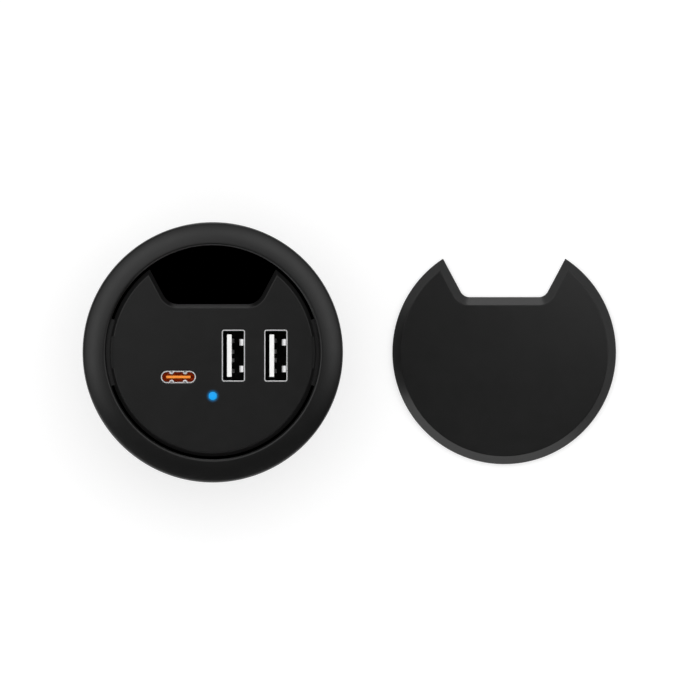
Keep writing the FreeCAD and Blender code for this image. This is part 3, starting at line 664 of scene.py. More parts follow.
# %% [markdown]
# ## Saw teeth and ledges
#
# Three saw teeth on each spring tongue hold the ring down: they slide in easily and bite when
# pulled. Two ledges grow out of the bore at 3 and 9 o'clock, and the insert rests on them. Each is
# a profile turned through a part of a circle, and reaches a little way into what carries it.

# %% Saw teeth, ledges and the whole ring
OVERLAP = 0.2
SAW_TOOTH_COUNT = 3
SAW_TOOTH_PITCH = 4.5
SAW_TOOTH_HEIGHT = 0.2
SAW_TOOTH_LOW = TONGUE_END + 1.5


def saw_teeth(middle):
    """Toothed strip on a tongue: each tooth slopes out going up and ends in a square step."""
    number = np.arange(SAW_TOOTH_COUNT)
    tops = SAW_TOOTH_LOW + (number + 1) * SAW_TOOTH_PITCH
    root = SLEEVE_OUTER - OVERLAP
    profile = [(root, SAW_TOOTH_LOW), (SLEEVE_OUTER, SAW_TOOTH_LOW)]
    for top in tops:
        profile += [(SLEEVE_OUTER + SAW_TOOTH_HEIGHT, top), (SLEEVE_OUTER, top)]
    profile.append((root, tops[-1]))
    return turned(profile, middle - HALF_TONGUE, middle + HALF_TONGUE, count=12)


LEDGE_INNER = 24.9
LEDGE_TOP = 2.4
LEDGE_FOOT = LEDGE_TOP - 1.5
LEDGE_GUSSET_FOOT = LEDGE_FOOT - 2.5
LEDGE_EDGE = 0.12
LEDGE_HALF_WIDTH = 8.5
LEDGE_HALF_ANGLE = math.asin(LEDGE_HALF_WIDTH / BORE_RADIUS)


def ledge(middle):
    """Ledge with a sloped gusset below, turned through the ledge's angle."""
    wall_r = BORE_RADIUS + OVERLAP
    profile = [(LEDGE_INNER, LEDGE_FOOT), (LEDGE_INNER, LEDGE_TOP - LEDGE_EDGE)]
    profile += [(LEDGE_INNER + LEDGE_EDGE, LEDGE_TOP), (wall_r, LEDGE_TOP), (wall_r, LEDGE_GUSSET_FOOT)]
    return turned(profile, middle - LEDGE_HALF_ANGLE, middle + LEDGE_HALF_ANGLE, count=40)


ring_surfaces = [turned(section), sleeve, ledge(0.0), ledge(math.pi)]
ring_surfaces += [saw_teeth(middle) for middle in TONGUE_ANGLES]
piece("bezel_ring_moulding", ring_surfaces, shell_plastic, "bezel", ["bezel_ring"])

# %% [markdown]
# ## Outline of the face plate
#
# The plate is the face of the insert. Its outline is the notched circle. Over each ledge it stands
# on a rebate and its edge is drawn in, and in the middle there a shallow recess interrupts the
# bevel. These steps are given as angles, and at each of them the outline has two points, so that a
# step is upright. A boolean cut could make them too, but would leave the bevel with stray points.

# %% Outline of the face plate
PLATE_RADIUS = 26.4
PLATE_TOP = FLANGE_TOP - 0.4
PLATE_BOTTOM = PLATE_TOP - 2.4
PLATE_NOTCH = dict(floor=12.26, half_width=11.3, corner=4.2)
EDGE_BEVEL = 1.0
EDGE_BLEND = 0.1
LEDGE_REACH = 26.05
REBATE_GAP = 0.3
REBATE_SIDE_GAP = 0.4
REBATE_RADIUS = LEDGE_INNER - REBATE_GAP
REBATE_HALF_ANGLE = LEDGE_HALF_ANGLE + REBATE_SIDE_GAP / LEDGE_INNER
RECESS_WIDTH = 0.8
RECESS_DEPTH = 0.5
RECESS_HALF_WIDTH = 4.1
RECESS_HALF_ANGLE = math.asin(RECESS_HALF_WIDTH / LEDGE_REACH)
FLAT_STRIP = 0.12
SAME_ANGLE = 1e-9


def plate_outline(inset, stops=()):
    """The plate's notched circle drawn in by inset, and the angles on its big arc."""
    return notched_circle(PLATE_RADIUS, inset=inset, stops=stops, **PLATE_NOTCH)


def edge_stops():
    """Angles on the big arc where the edge's profile steps, from the left tip round to the right."""
    stops = []
    for middle in (math.pi, 2 * math.pi):
        for half in (REBATE_HALF_ANGLE, LEDGE_HALF_ANGLE, RECESS_HALF_ANGLE):
            stops += [middle - half, middle + half]
    return sorted(stops)


def between_stops(angles, half):
    """Which points lie within an angle of 3 or 9 o'clock; of two points at a stop, one does."""
    away = np.abs((angles + math.pi / 2) % math.pi - math.pi / 2)
    inside = away < half - SAME_ANGLE
    at_stop = np.abs(away - half) < SAME_ANGLE
    pair = at_stop & (np.roll(inside, 1) | np.roll(inside, -1))
    return inside | pair


print("steps round the plate at:", np.degrees(edge_stops()).round(1).tolist(), "degrees")

# %% [markdown]
# ## Edge of the face plate
#
# The plate has a bevel of one millimetre on its upper edge. Underside, rebate, side wall, bevel and
# recess are one grid: each column across the edge has its own profile, and the rows follow the
# outline. So the light runs round the bevel without a break, and the recess has crisp ends.

# %% Edge of the face plate
def plate_edge():
    """Grid of the plate's edge, from its underside over the rebate and the bevel to the top.

    Each row is the outline at one inset. In the ledge's angle the radius is held to LEDGE_REACH,
    and in the recess's angle the upper rows follow a step of RECESS_WIDTH and RECESS_DEPTH.
    """
    insets, drops = bevelled_edge(EDGE_BEVEL, EDGE_BLEND)
    stops = edge_stops()
    _, angles = plate_outline(0.0, stops)
    over_ledge = between_stops(angles, LEDGE_HALF_ANGLE)
    in_recess = between_stops(angles, RECESS_HALF_ANGLE)
    under = np.where(between_stops(angles, REBATE_HALF_ANGLE), LEDGE_TOP, PLATE_BOTTOM)
    rebate_inset = PLATE_RADIUS - REBATE_RADIUS
    rows = [(rebate_inset, PLATE_BOTTOM), (rebate_inset, under), (0.0, under)]
    rows += [(inset, PLATE_TOP - drop) for inset, drop in zip(insets, drops)]
    rows.append((insets[-1] + FLAT_STRIP, PLATE_TOP))
    ledge_corner = (LEDGE_REACH, PLATE_TOP - EDGE_BEVEL + PLATE_RADIUS - LEDGE_REACH)
    recess_floor = PLATE_TOP - RECESS_DEPTH
    recess_inner = LEDGE_REACH - RECESS_WIDTH
    # The bevel's eight rows are 3 to 10. In the recess, rows 5 and 6 stay at the ledge's corner, 7
    # and 8 are the ends of the recess's floor, 9 and 10 its step, and 11 the flat strip behind it.
    recess_steps = {
        5: ledge_corner, 6: ledge_corner, 7: (PLATE_RADIUS - EDGE_BEVEL + RECESS_DEPTH, recess_floor),
        8: (recess_inner, recess_floor), 9: (recess_inner, PLATE_TOP), 10: (recess_inner, PLATE_TOP),
        11: (recess_inner - FLAT_STRIP, PLATE_TOP),
    }
    points = []
    for number, (inset, height) in enumerate(rows):
        outline, _ = plate_outline(inset, stops)
        reach = np.linalg.norm(outline, axis=1)
        radius = np.where(over_ledge, np.minimum(reach, LEDGE_REACH), reach)
        if number in (5, 6):
            height = np.where(over_ledge, ledge_corner[1], height)
        if number in recess_steps:
            step_radius, step_height = recess_steps[number]
            radius = np.where(in_recess, step_radius, radius)
            height = np.where(in_recess, step_height, height)
        held = outline * (radius / reach)[:, None]
        points.append(np.column_stack([held, np.broadcast_to(height, len(held))]))
    return np.stack(points)


edge_grid = plate_edge()
print("plate edge grid:", edge_grid.shape)

# %% [markdown]
# ## Openings for sockets and light
#
# Two upright type A sockets, one level type C socket and a small light pipe come up through the
# plate. An opening is one wall that ends in a small rounded lip at the face. It follows the
# outline of what comes through it, grown by a gap, so that socket and opening always fit.

# %% Sockets' places and openings
USB_A_WIDTH = 5.93
USB_A_DEPTH = 13.2
USB_A_CORNER = 0.6
USB_A_Y = -0.84
USB_A_PLACES = {"left": 5.24, "right": 16.0}
USB_C_WIDTH = 8.85
USB_C_DEPTH = 3.13
USB_C_CORNER = 0.499 * USB_C_DEPTH
USB_C_PLACE = (-8.71, -6.25)
LED_PLACE = (0.0, -11.05)
LED_RADIUS = 1.05
SOCKET_GAP = 0.1
LED_GAP = 0.08
LIP = 0.12


def usb_a_outline(grow):
    """Outline of a type A shell, grown by a distance."""
    return rounded_rectangle(USB_A_WIDTH, USB_A_DEPTH, USB_A_CORNER, grow)


def usb_c_outline(grow):
    """Outline of the type C shell, grown by a distance."""
    return rounded_rectangle(USB_C_WIDTH, USB_C_DEPTH, USB_C_CORNER, grow, per_corner=16)


def lens_outline(grow):
    """Outline of the light pipe, grown by a distance."""
    return circle(LED_RADIUS + grow, 48)


def at(outline, place):
    """The same outline in another place."""
    return outline + np.array(place)


def opening(outline_of, gap, place):
    """Wall of one opening: bore, rounded lip and a narrow flat strip round it.

    outline_of gives the outline, grown by a distance, of what comes through the opening.
    """
    insets, drops = quarter_round(LIP, 4)
    grows = [0.0, *insets, LIP + FLAT_STRIP / 2]
    heights = [PLATE_BOTTOM, *(PLATE_TOP - drops), PLATE_TOP]
    outlines = [at(outline_of(grow + gap), place) for grow in grows]
    return wall(outlines, heights), outlines[0], outlines[-1]


openings = [opening(usb_a_outline, SOCKET_GAP, (side_x, USB_A_Y)) for side_x in USB_A_PLACES.values()]
openings.append(opening(usb_c_outline, SOCKET_GAP, USB_C_PLACE))
openings.append(opening(lens_outline, LED_GAP, LED_PLACE))
print("openings in the plate:", len(openings))

# %% [markdown]
# ## Posts, snap hooks and the whole plate
#
# Below the plate stand two posts for the port board and four snap hooks for the housing, each a
# closed shape of its own that overlaps the plate a little, which is simpler than one skin round
# all. The plate's flat faces are filled with triangles, with the openings left out.

# %% Posts, hooks and the plate itself
PORT_BOARD_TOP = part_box("port_board")[1].z / MM
POST_PLACES = [(14.5, -14.5), (-14.5, -14.5)]
POST_RADIUS = 2.0
HOUSING_INSET = 0.6
HOUSING_WALL = 1.6
HOOK_ANGLES = [math.radians(angle) for angle in (31.5, 148.5, 240.0, 300.0)]
HOOK_HALF_WIDTH = 2.5
HOOK_THICKNESS = 1.1
HOOK_NOSE = 0.9
HOOK_CLEARANCE = 0.2
HOOK_OUTER = PLATE_RADIUS - HOUSING_INSET - HOUSING_WALL - HOOK_CLEARANCE
HOOK_CATCH = PLATE_BOTTOM - 4.2
HOOK_TIP = PLATE_BOTTOM - 6.2


def prism(profile, low, high):
    """Closed prism: a profile of x and z carried along y from low to high."""
    profile = np.asarray(profile, float)
    rows = [np.column_stack([profile[:, 0], np.full(len(profile), y), profile[:, 1]]) for y in (low, high)]
    points, faces = woven(np.stack(rows), close_columns=True)
    index = np.arange(len(profile))
    return points, faces + [index.tolist(), (index + len(profile)).tolist()]


def turned_to(surface, angle):
    """The same surface turned about the Z axis."""
    points, faces = surface
    spin = np.array([[math.cos(angle), math.sin(angle)], [-math.sin(angle), math.cos(angle)]])
    return np.column_stack([points[:, :2] @ spin, points[:, 2]]), faces


def snap_hook(angle):
    """Arm under the plate with a nose that is level above and sloped below."""
    top = PLATE_BOTTOM + OVERLAP
    inner = HOOK_OUTER - HOOK_THICKNESS
    profile = [(inner, top), (HOOK_OUTER, top), (HOOK_OUTER, HOOK_CATCH)]
    profile += [(HOOK_OUTER + HOOK_NOSE, HOOK_CATCH), (HOOK_OUTER, HOOK_TIP), (inner, HOOK_TIP)]
    return turned_to(prism(profile, -HOOK_HALF_WIDTH, HOOK_HALF_WIDTH), angle)


plate_surfaces = [woven(edge_grid, close_columns=True)]
plate_surfaces += [surface for surface, _, _ in openings]
plate_surfaces.append(filled([edge_grid[-1][:, :2], *(top for _, _, top in openings)], PLATE_TOP))
plate_surfaces.append(filled([edge_grid[0][:, :2], *(low for _, low, _ in openings)], PLATE_BOTTOM))
post_top = PLATE_BOTTOM + OVERLAP
post_profile = [(0.0, post_top), (POST_RADIUS, post_top)]
post_profile += [(POST_RADIUS, PORT_BOARD_TOP), (0.0, PORT_BOARD_TOP)]
for place in POST_PLACES:
    plate_surfaces.append(moved(turned(post_profile, count=48, closed=False), *place))
plate_surfaces += [snap_hook(angle) for angle in HOOK_ANGLES]
plate = piece("face_plate_moulding", plate_surfaces, shell_plastic, "insert", ["face_plate"])

# %% [markdown]
# ## The housing
#
# The cup behind the plate has the same notch, so cables pass beside it. Two channels in its side
# let it slide past the ring's ledges. Its floor has vents and a round hole for the power inlet.
# Outer skin and inner skin are two walls with the same outline, joined by the rim at the top. The
# windows for the snap hooks are cut afterwards, as their edges follow no row of the grid.

# %% Housing
HOUSING_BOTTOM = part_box("rear_housing")[0].z / MM
HOUSING_FLOOR = HOUSING_BOTTOM + HOUSING_WALL
BOTTOM_ROUND = 1.2
VENT_COUNT = 5
VENT_PITCH = 4.0
VENT_SIZE = (1.6, 9.0)
VENT_CORNER = 0.3
VENT_Y = -10.0
WINDOW_REACH = 1.0
INLET_PLACE = (0.0, 3.0)
INLET_HOLE = 3.4


def housing_outline(inset, channel_radius, channel_half_angle):
    """Notched outline with both channels cut in: the radius there is held to channel_radius."""
    stops = []
    for middle in (math.pi, 2 * math.pi):
        stops += [middle - channel_half_angle, middle + channel_half_angle]
    outline, angles = plate_outline(inset, sorted(stops))
    limit = np.where(between_stops(angles, channel_half_angle), channel_radius, np.inf)
    radius = np.linalg.norm(outline, axis=1)
    return outline * np.minimum(1.0, limit / radius)[:, None]


def cut_windows(target):
    """Take the hooks' windows out of the housing with a temporary block at each hook."""
    low = HOOK_TIP - HOOK_CLEARANCE
    high = HOOK_CATCH + HOOK_CLEARANCE
    half = HOOK_HALF_WIDTH + HOOK_CLEARANCE
    inner, outer = HOOK_OUTER - WINDOW_REACH, PLATE_RADIUS + WINDOW_REACH
    profile = [(inner, low), (inner, high), (outer, high), (outer, low)]
    for angle in HOOK_ANGLES:
        cutter_mesh = mesh_of("cutter", turned_to(prism(profile, -half, half), angle))
        outward_skin(cutter_mesh)
        cutter = new_object("cutter", cutter_mesh)
        cut = target.modifiers.new("window", "BOOLEAN")
        cut.operation = "DIFFERENCE"
        cut.solver = "EXACT"
        cut.object = cutter
        ready = target.evaluated_get(bpy.context.evaluated_depsgraph_get())
        result = bpy.data.meshes.new_from_object(ready)
        target.modifiers.clear()
        target.data = result
        bpy.data.objects.remove(cutter)
    result.set_sharp_from_angle(angle=SHARP_ANGLE)
    print("windows cut, faces now:", len(result.polygons))


outer_insets, outer_drops = quarter_round(BOTTOM_ROUND, 6)
outer_rows = [housing_outline(HOUSING_INSET, REBATE_RADIUS, REBATE_HALF_ANGLE)]
outer_rows += [
    housing_outline(HOUSING_INSET + inset, REBATE_RADIUS - inset, REBATE_HALF_ANGLE) for inset in outer_insets
]
inner_half_angle = REBATE_HALF_ANGLE + HOUSING_WALL / REBATE_RADIUS
inner_outline = housing_outline(HOUSING_INSET + HOUSING_WALL, REBATE_RADIUS - HOUSING_WALL, inner_half_angle)
outer_heights = [PLATE_BOTTOM, *(HOUSING_BOTTOM + outer_drops)]
holes = [at(circle(INLET_HOLE, 64), INLET_PLACE)]
for number in range(VENT_COUNT):
    vent_x = (number - (VENT_COUNT - 1) / 2) * VENT_PITCH
    holes.append(at(rounded_rectangle(*VENT_SIZE, VENT_CORNER), (vent_x, VENT_Y)))
housing_surfaces = [wall(outer_rows, outer_heights)]
housing_surfaces.append(wall([inner_outline, inner_outline], [PLATE_BOTTOM, HOUSING_FLOOR]))
housing_surfaces.append(filled([outer_rows[0], inner_outline], PLATE_BOTTOM))
housing_surfaces += [wall([hole, hole], [HOUSING_BOTTOM, HOUSING_FLOOR]) for hole in holes]
housing_surfaces.append(filled([outer_rows[-1], *holes], HOUSING_BOTTOM))
housing_surfaces.append(filled([inner_outline, *holes], HOUSING_FLOOR))
housing = piece(
    "rear_housing_moulding", housing_surfaces, shell_plastic, "insert", ["rear_housing"]
)
cut_windows(housing)

# %% [markdown]
# ## Steel shells of the sockets
#
# A socket's shell is sheet steel three tenths of a millimetre thick, bent round and rolled
# slightly at the mouth. Seen from above only the mouth shows, as a bright line. The shell is a
# closed profile carried round the socket's outline: up the outside, over the rounded mouth and
# down the inside. The fingers that hold a plug are bent strips.

# %% Type A shells with their spring fingers
USB_A_WALL = 0.3
FINGER_OFFSETS = (-3.37, 3.37)
FINGER_WIDTH = 1.6
# Places along a finger: how far it stands in from the wall, and how deep below the mouth.
FINGER_PATH = np.array([(0.0, 7.9), (0.2, 6.8), (1.15, 3.0), (1.15, 2.4), (0.1, 2.0)])


def steel_shell(outline_of, place, sheet, low, steps=7):
    """Closed wall of sheet metal: outline grown by 0 outside and by minus the sheet inside."""
    turn = np.linspace(0, np.pi, steps)
    grows = [0.0, *(-sheet / 2 + sheet / 2 * np.cos(turn)), -sheet]
    heights = [low, *(PLATE_TOP - sheet / 2 + sheet / 2 * np.sin(turn)), low]
    return wall([at(outline_of(grow), place) for grow in grows], heights, close_rows=True)


def leaf(path, thickness, middle_y, width, steps=24):
    """Bent strip: a smooth curve through the path's x and z, one thickness deep, width along y.

    The curve blends neighbouring places with a cosine, and the back lies one thickness along
    the curve's normal.
    """
    path = np.asarray(path, float)
    length = np.concatenate([[0], np.cumsum(np.linalg.norm(np.diff(path, axis=0), axis=1))])
    sample = np.linspace(0, length[-1], steps)
    straight = np.stack([np.interp(sample, length, path[:, axis]) for axis in (0, 1)], axis=1)
    padded = np.vstack([straight[:1], straight, straight[-1:]])
    front = (padded[:-2] + 2 * padded[1:-1] + padded[2:]) / 4
    run = np.gradient(front, axis=0)
    run /= np.linalg.norm(run, axis=1)[:, None]
    back = front + thickness * np.stack([run[:, 1], -run[:, 0]], axis=1)
    loop = np.vstack([front, back[::-1]])
    sides = []
    for y in (middle_y - width / 2, middle_y + width / 2):
        sides.append(np.column_stack([loop[:, 0], np.full(len(loop), y), loop[:, 1]]))
    points, faces = woven(np.stack(sides), close_columns=True)
    last = len(loop) - 1
    for start in (0, len(loop)):
        index = np.arange(steps - 1)
        caps = [start + index, start + index + 1, start + last - index - 1, start + last - index]
        faces += np.stack(caps, axis=1).tolist()
    return points, faces


def usb_a_shell(middle_x):
    """Shell of one type A socket with two fingers sprung in from its right wall."""
    inner_face = middle_x + USB_A_WIDTH / 2 - USB_A_WALL
    path = np.array([inner_face, PLATE_TOP]) - FINGER_PATH
    shell = steel_shell(usb_a_outline, (middle_x, USB_A_Y), USB_A_WALL, PORT_BOARD_TOP)
    fingers = [leaf(path, USB_A_WALL, USB_A_Y + offset, FINGER_WIDTH) for offset in FINGER_OFFSETS]
    return [shell, *fingers]


for side_name, side_x in USB_A_PLACES.items():
    shell_name = f"usb_a_{side_name}_shell"
    piece(shell_name + "_steel", usb_a_shell(side_x), socket_steel, "insert", [shell_name])

# %% [markdown]
# ## Tongues and contacts of the type A sockets
#
# The white tongue carries four leaf contacts that bow out towards the plug. It stands on a black
# base that closes the socket's foot. The base is painted shade: near black and duller than the
# other plastics, so the socket looks deep. Tongue and base are upright blocks with rounded edges,
# and one function makes them and, later, other small blocks.

# %% Type A tongues and contacts
TONGUE_GAP = 1.03
TONGUE_THICKNESS = 1.2
TONGUE_DEPTH = 10.75
TONGUE_CORNER = 0.14
TONGUE_ROUND = 0.12
TONGUE_SINK = 1.2
TONGUE_FOOT = 0.1
BASE_TOP = PORT_BOARD_TOP + 3.0
BASE_CORNER = 0.25
BLOCK_PLAY = 0.2
TOP_STRIP = 0.02
CONTACT_OFFSETS = (-3.9, -1.15, 1.0, 3.75)
CONTACT_WIDTH = 1.05
CONTACT_SHEET = 0.2
CONTACT_TIP = 0.8
# Places along a contact: how far it stands out from the tongue, and its share of the way up.
CONTACT_PATH = np.array([(0.0, 0.0), (0.0, 0.35), (0.47, 0.75), (0.47, 0.82), (-0.2, 1.0)])


def upright_block(place, size, corner, low, high, top_round=0.0, per_corner=5):
    """Block over a round-cornered rectangle, closed below, with a rounded upper edge."""
    if top_round:
        insets, drops = quarter_round(top_round, 4)
        grows = [0.0, *(-insets), -top_round - TOP_STRIP]
        heights = [low, *(high - drops), high]
    else:
        grows = [0.0, 0.0]
        heights = [low, high]
    outlines = [at(rounded_rectangle(*size, corner, grow, per_corner), place) for grow in grows]
    return joined([wall(outlines, heights), filled([outlines[-1]], high), filled([outlines[0]], low)])


def usb_a_blocks(middle_x):
    """Base that fills the shell's foot, tongue near the left wall, and the x of the tongue's face."""
    left = middle_x - USB_A_WIDTH / 2 + USB_A_WALL + TONGUE_GAP
    around = 2 * USB_A_WALL + BLOCK_PLAY
    base_size = (USB_A_WIDTH - around, USB_A_DEPTH - around)
    base = upright_block((middle_x, USB_A_Y), base_size, BASE_CORNER, PORT_BOARD_TOP, BASE_TOP)
    tongue = upright_block(
        (left + TONGUE_THICKNESS / 2, USB_A_Y), (TONGUE_THICKNESS, TONGUE_DEPTH), TONGUE_CORNER,
        BASE_TOP - TONGUE_FOOT, PLATE_TOP - TONGUE_SINK, TONGUE_ROUND,
    )
    return base, tongue, left + TONGUE_THICKNESS


def usb_a_contacts(face_x):
    """Four strips that lie on the tongue and bow out before its tip."""
    way_up = PLATE_TOP - TONGUE_SINK - CONTACT_TIP - BASE_TOP
    path = np.array([face_x, BASE_TOP]) + CONTACT_PATH * np.array([1.0, way_up])
    return [leaf(path, CONTACT_SHEET, USB_A_Y + offset, CONTACT_WIDTH) for offset in CONTACT_OFFSETS]


for side_name, side_x in USB_A_PLACES.items():
    tongue_name = f"usb_a_{side_name}_tongue"
    base, tongue, contact_face = usb_a_blocks(side_x)
    piece(tongue_name + "_moulding", [tongue], white_tongue, "insert", [tongue_name])
    # The base is drawn in painted shade, a near black that makes the socket's foot look deep.
    piece(tongue_name + "_base", [base], socket_floor_painted_shade, "insert")
    contact_name = f"usb_a_{side_name}_contacts"
    strips = usb_a_contacts(contact_face)
    piece(contact_name + "_strips", strips, contact_metal, "insert", [contact_name])

# %% [markdown]
# ## The type C shell
#
# It is two shells, one in the other. The inner one has four short grooves pressed in at the mouth
# that hold the plug: seen from above its bright edge runs round each in a half ring with a dark
# middle, and the outer shell goes straight past. The grooves are added to the wall's grid as a
# formula: a point of the wall moves in by the height of a half round rod over it, and the rod ends
# in a ball below.

# %% Type C shell
USB_C_WALL = 0.28
USB_C_OUTER_WALL = 0.1
USB_C_SHEET_OVERLAP = 0.02
USB_C_SHELL_LOW = PLATE_TOP - 10.0
GROOVE_X = 1.7
GROOVE_RADII = (0.34, 0.6)
GROOVE_END = PLATE_TOP - 0.8
GROOVE_ROWS = 16
GROOVE_ROWS_LOW = PLATE_TOP - 1.6


def racetrack(grow, straight_points=140, round_points=28):
    """Two half circles joined by straight runs, with closely spaced points on the straights."""
    radius = USB_C_DEPTH / 2 + grow
    half = (USB_C_WIDTH - USB_C_DEPTH) / 2
    run = np.linspace(half, -half, straight_points)
    turn = np.linspace(np.pi / 2, 3 * np.pi / 2, round_points)[1:-1]
    upper = np.stack([run, np.full_like(run, radius)], axis=1)
    left = np.stack([-half + radius * np.cos(turn), radius * np.sin(turn)], axis=1)
    return np.vstack([upper, left, -upper, -left])


def usb_c_inner_shell():
    """Closed sheet wall with its four grooves: y drops by sqrt(reach^2 - off_x^2 - below^2).

    reach is the rod's radius on that side of the sheet, below is the depth under GROOVE_END.
    """
    turn = np.linspace(0, np.pi, 7)
    half_wall = (USB_C_WALL - USB_C_OUTER_WALL) / 2
    side_heights = np.linspace(PLATE_TOP - half_wall, GROOVE_ROWS_LOW, GROOVE_ROWS)[1:]
    grows = [-USB_C_OUTER_WALL] * (len(side_heights) + 1)
    heights = [USB_C_SHELL_LOW, *side_heights[::-1]]
    grows += [*(-USB_C_OUTER_WALL - half_wall + half_wall * np.cos(turn))]
    heights += [*(PLATE_TOP - half_wall + half_wall * np.sin(turn))]
    grows += [-USB_C_WALL] * (len(side_heights) + 1)
    heights += [*side_heights, USB_C_SHELL_LOW]
    rows = []
    for grow, height in zip(grows, heights):
        outline = racetrack(grow)
        off_x = np.abs(np.abs(outline[:, 0]) - GROOVE_X)
        reach = np.interp(-grow, (USB_C_OUTER_WALL, USB_C_WALL), GROOVE_RADII)
        below = max(0.0, GROOVE_END - height)
        drop = np.sqrt(np.maximum(reach**2 - off_x**2 - below**2, 0.0))
        outline[:, 1] -= np.sign(outline[:, 1]) * drop
        rows.append(at(outline, USB_C_PLACE))
    return wall(rows, heights, close_rows=True)


usb_c_outer_shell = steel_shell(
    racetrack, USB_C_PLACE, USB_C_OUTER_WALL + USB_C_SHEET_OVERLAP, USB_C_SHELL_LOW
)
usb_c_shells = [usb_c_outer_shell, usb_c_inner_shell()]
piece("usb_c_shell_steel", usb_c_shells, socket_steel, "insert", ["usb_c_shell"])

# %% [markdown]
# ## Moulding and tongue of the type C socket
#
# Tongue and moulding are orange plastic. The moulding is given a redder, duller orange than the
# tongue, painted shade for the same plastic deep in the socket. The moulding closes the shell's
# lower end and stands on the board with a square foot. Both are upright blocks again, the upper one
# with half round ends.

# %% Type C moulding and tongue
USB_C_CAVITY_FLOOR = PLATE_TOP - 6.5
USB_C_TONGUE_SIZE = (6.26, 0.7)
USB_C_TONGUE_CORNER = 0.25
USB_C_TONGUE_ROUND = 0.2
USB_C_TONGUE_TOP = PLATE_TOP - 0.8
HALF_ROUND = 0.49
MOULDING_ROUND = 0.1
FOOT_CORNER = 0.2

inner_width = USB_C_WIDTH - 2 * USB_C_WALL - BLOCK_PLAY
inner_depth = USB_C_DEPTH - 2 * USB_C_WALL - BLOCK_PLAY
plug_block = upright_block(
    USB_C_PLACE, (inner_width, inner_depth), HALF_ROUND * inner_depth,
    USB_C_SHELL_LOW, USB_C_CAVITY_FLOOR, MOULDING_ROUND, per_corner=12,
)
foot_block = upright_block(
    USB_C_PLACE, (USB_C_WIDTH, USB_C_DEPTH), FOOT_CORNER, PORT_BOARD_TOP, USB_C_SHELL_LOW
)
# The moulding is in painted shade, a redder and duller orange than the tongue.
piece(
    "usb_c_insulator_moulding", [plug_block, foot_block], orange_moulding, "insert",
    ["usb_c_insulator"],
)
tongue_block = upright_block(
    USB_C_PLACE, USB_C_TONGUE_SIZE, USB_C_TONGUE_CORNER,
    USB_C_CAVITY_FLOOR, USB_C_TONGUE_TOP, USB_C_TONGUE_ROUND,
)
piece("usb_c_tongue_moulding", [tongue_block], orange_tongue, "insert", ["usb_c_tongue"])

# %% [markdown]
# ## The indicator's light
#
# A clear pipe carries the light of a chip on the board up to a low dome in the face. It glows
# blue from inside, brightest in the middle, and the plastic round the hole picks up a soft rim of
# the same blue. The rim is a painted glow: light scattered in the plastic would make it too, but at
# this size a glow that fades with the distance from the lens looks the same and renders without grain.

# %% Glow of lens and plate
LED_BLUE = (0.013, 0.40, 0.97, 1.0)
LENS_EDGE_GLOW = 0.85
HALO_RADIUS = 2.0
HALO_STRENGTH = 0.35
HALO_FALL = 3.0


def glow_from_lens(tree, near, far, near_strength, far_strength):
    """Value that goes from near_strength to far_strength between two distances from the lens."""
    place = tree.nodes.new("ShaderNodeTexCoord").outputs["Object"]
    lens = (LED_PLACE[0] * MM, LED_PLACE[1] * MM, PLATE_TOP * MM)
    from_lens = vector_node(tree, "SUBTRACT", place, lens).outputs["Vector"]
    distance = vector_node(tree, "LENGTH", from_lens).outputs["Value"]
    return ranged(tree, distance, (near * MM, far * MM), (near_strength, far_strength))


blue_lens, lens_tree, lens_shader = new_finish("blue_lens", (0.0, 0.01, 0.03), 0.3, specular=0.2)
lens_shader.inputs["Emission Color"].default_value = LED_BLUE
lens_glow = glow_from_lens(lens_tree, 0.0, LED_RADIUS, 1.0, LENS_EDGE_GLOW)
lens_tree.links.new(lens_glow, lens_shader.inputs["Emission Strength"])

face_plastic = shell_plastic.copy()
face_plastic.name = "black_shell_painted_glow"
face_tree = face_plastic.node_tree
face_shader = face_tree.nodes["Principled BSDF"]
face_shader.inputs["Emission Color"].default_value = LED_BLUE
# Painted glow: blue emission on the plate that fades out from the lens's rim.
fade = glow_from_lens(face_tree, LED_RADIUS, HALO_RADIUS, 1.0, 0.0)
painted_halo = arithmetic(face_tree, "MULTIPLY", arithmetic(face_tree, "POWER", fade, HALO_FALL), HALO_STRENGTH)
face_tree.links.new(painted_halo, face_shader.inputs["Emission Strength"])
plate.data.materials[0] = face_plastic
print("glow reaches", HALO_RADIUS, "mm from the lens's middle")

# %% [markdown]
# ## The light pipe
#
# The pipe is a turned part: a rod with a low dome on top. The dome's radius comes from its height
# and the rod's radius, so that it meets the rod's edge exactly.

# %% Light pipe
LED_DOME = 0.15
LED_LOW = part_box("led_lens")[0].z / MM
dome_radius = (LED_RADIUS**2 + LED_DOME**2) / (2 * LED_DOME)
dome_edge = math.asin(LED_RADIUS / dome_radius)
dome_z = PLATE_TOP + LED_DOME - dome_radius
dome = arc_points(0.0, dome_z, dome_radius, math.pi / 2, math.pi / 2 - dome_edge, 8)
lens_profile = np.vstack([dome, [(LED_RADIUS, LED_LOW), (0.0, LED_LOW)]])
lens_surface = moved(turned(lens_profile, count=48, closed=False), *LED_PLACE)
piece("led_lens_pipe", [lens_surface], blue_lens, "insert", ["led_lens"])

# %% [markdown]
# ## The cover cap
#
# The cap lies face up beside the ring. A bevel of two millimetres runs all round it, the notch
# included, and the edges between faces are rounded by a few tenths as any moulded edge is. Below
# it is hollow, with two tabs that drop between plate and ring.

# %% Cover cap
cover_high = np.array(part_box("cover_cap")[1]) / MM
COVER_RADIUS = 28.35
COVER_X = cover_high[0] - COVER_RADIUS
COVER_TOP = cover_high[2]
COVER_BASE = COVER_TOP - 2.65
COVER_BEVEL = 2.05
COVER_WALL = 1.5
COVER_HOLLOW = 1.2
COVER_NOTCH = dict(floor=14.0, half_width=10.3, corner=2.6)
TAB_HALF_WIDTH = 4.0
TAB_THICKNESS = 0.65
TAB_SINK = 0.1


def cover_outline(inset):
    """The cap's notched circle drawn in by inset."""
    return notched_circle(COVER_RADIUS, inset=inset, **COVER_NOTCH)[0]


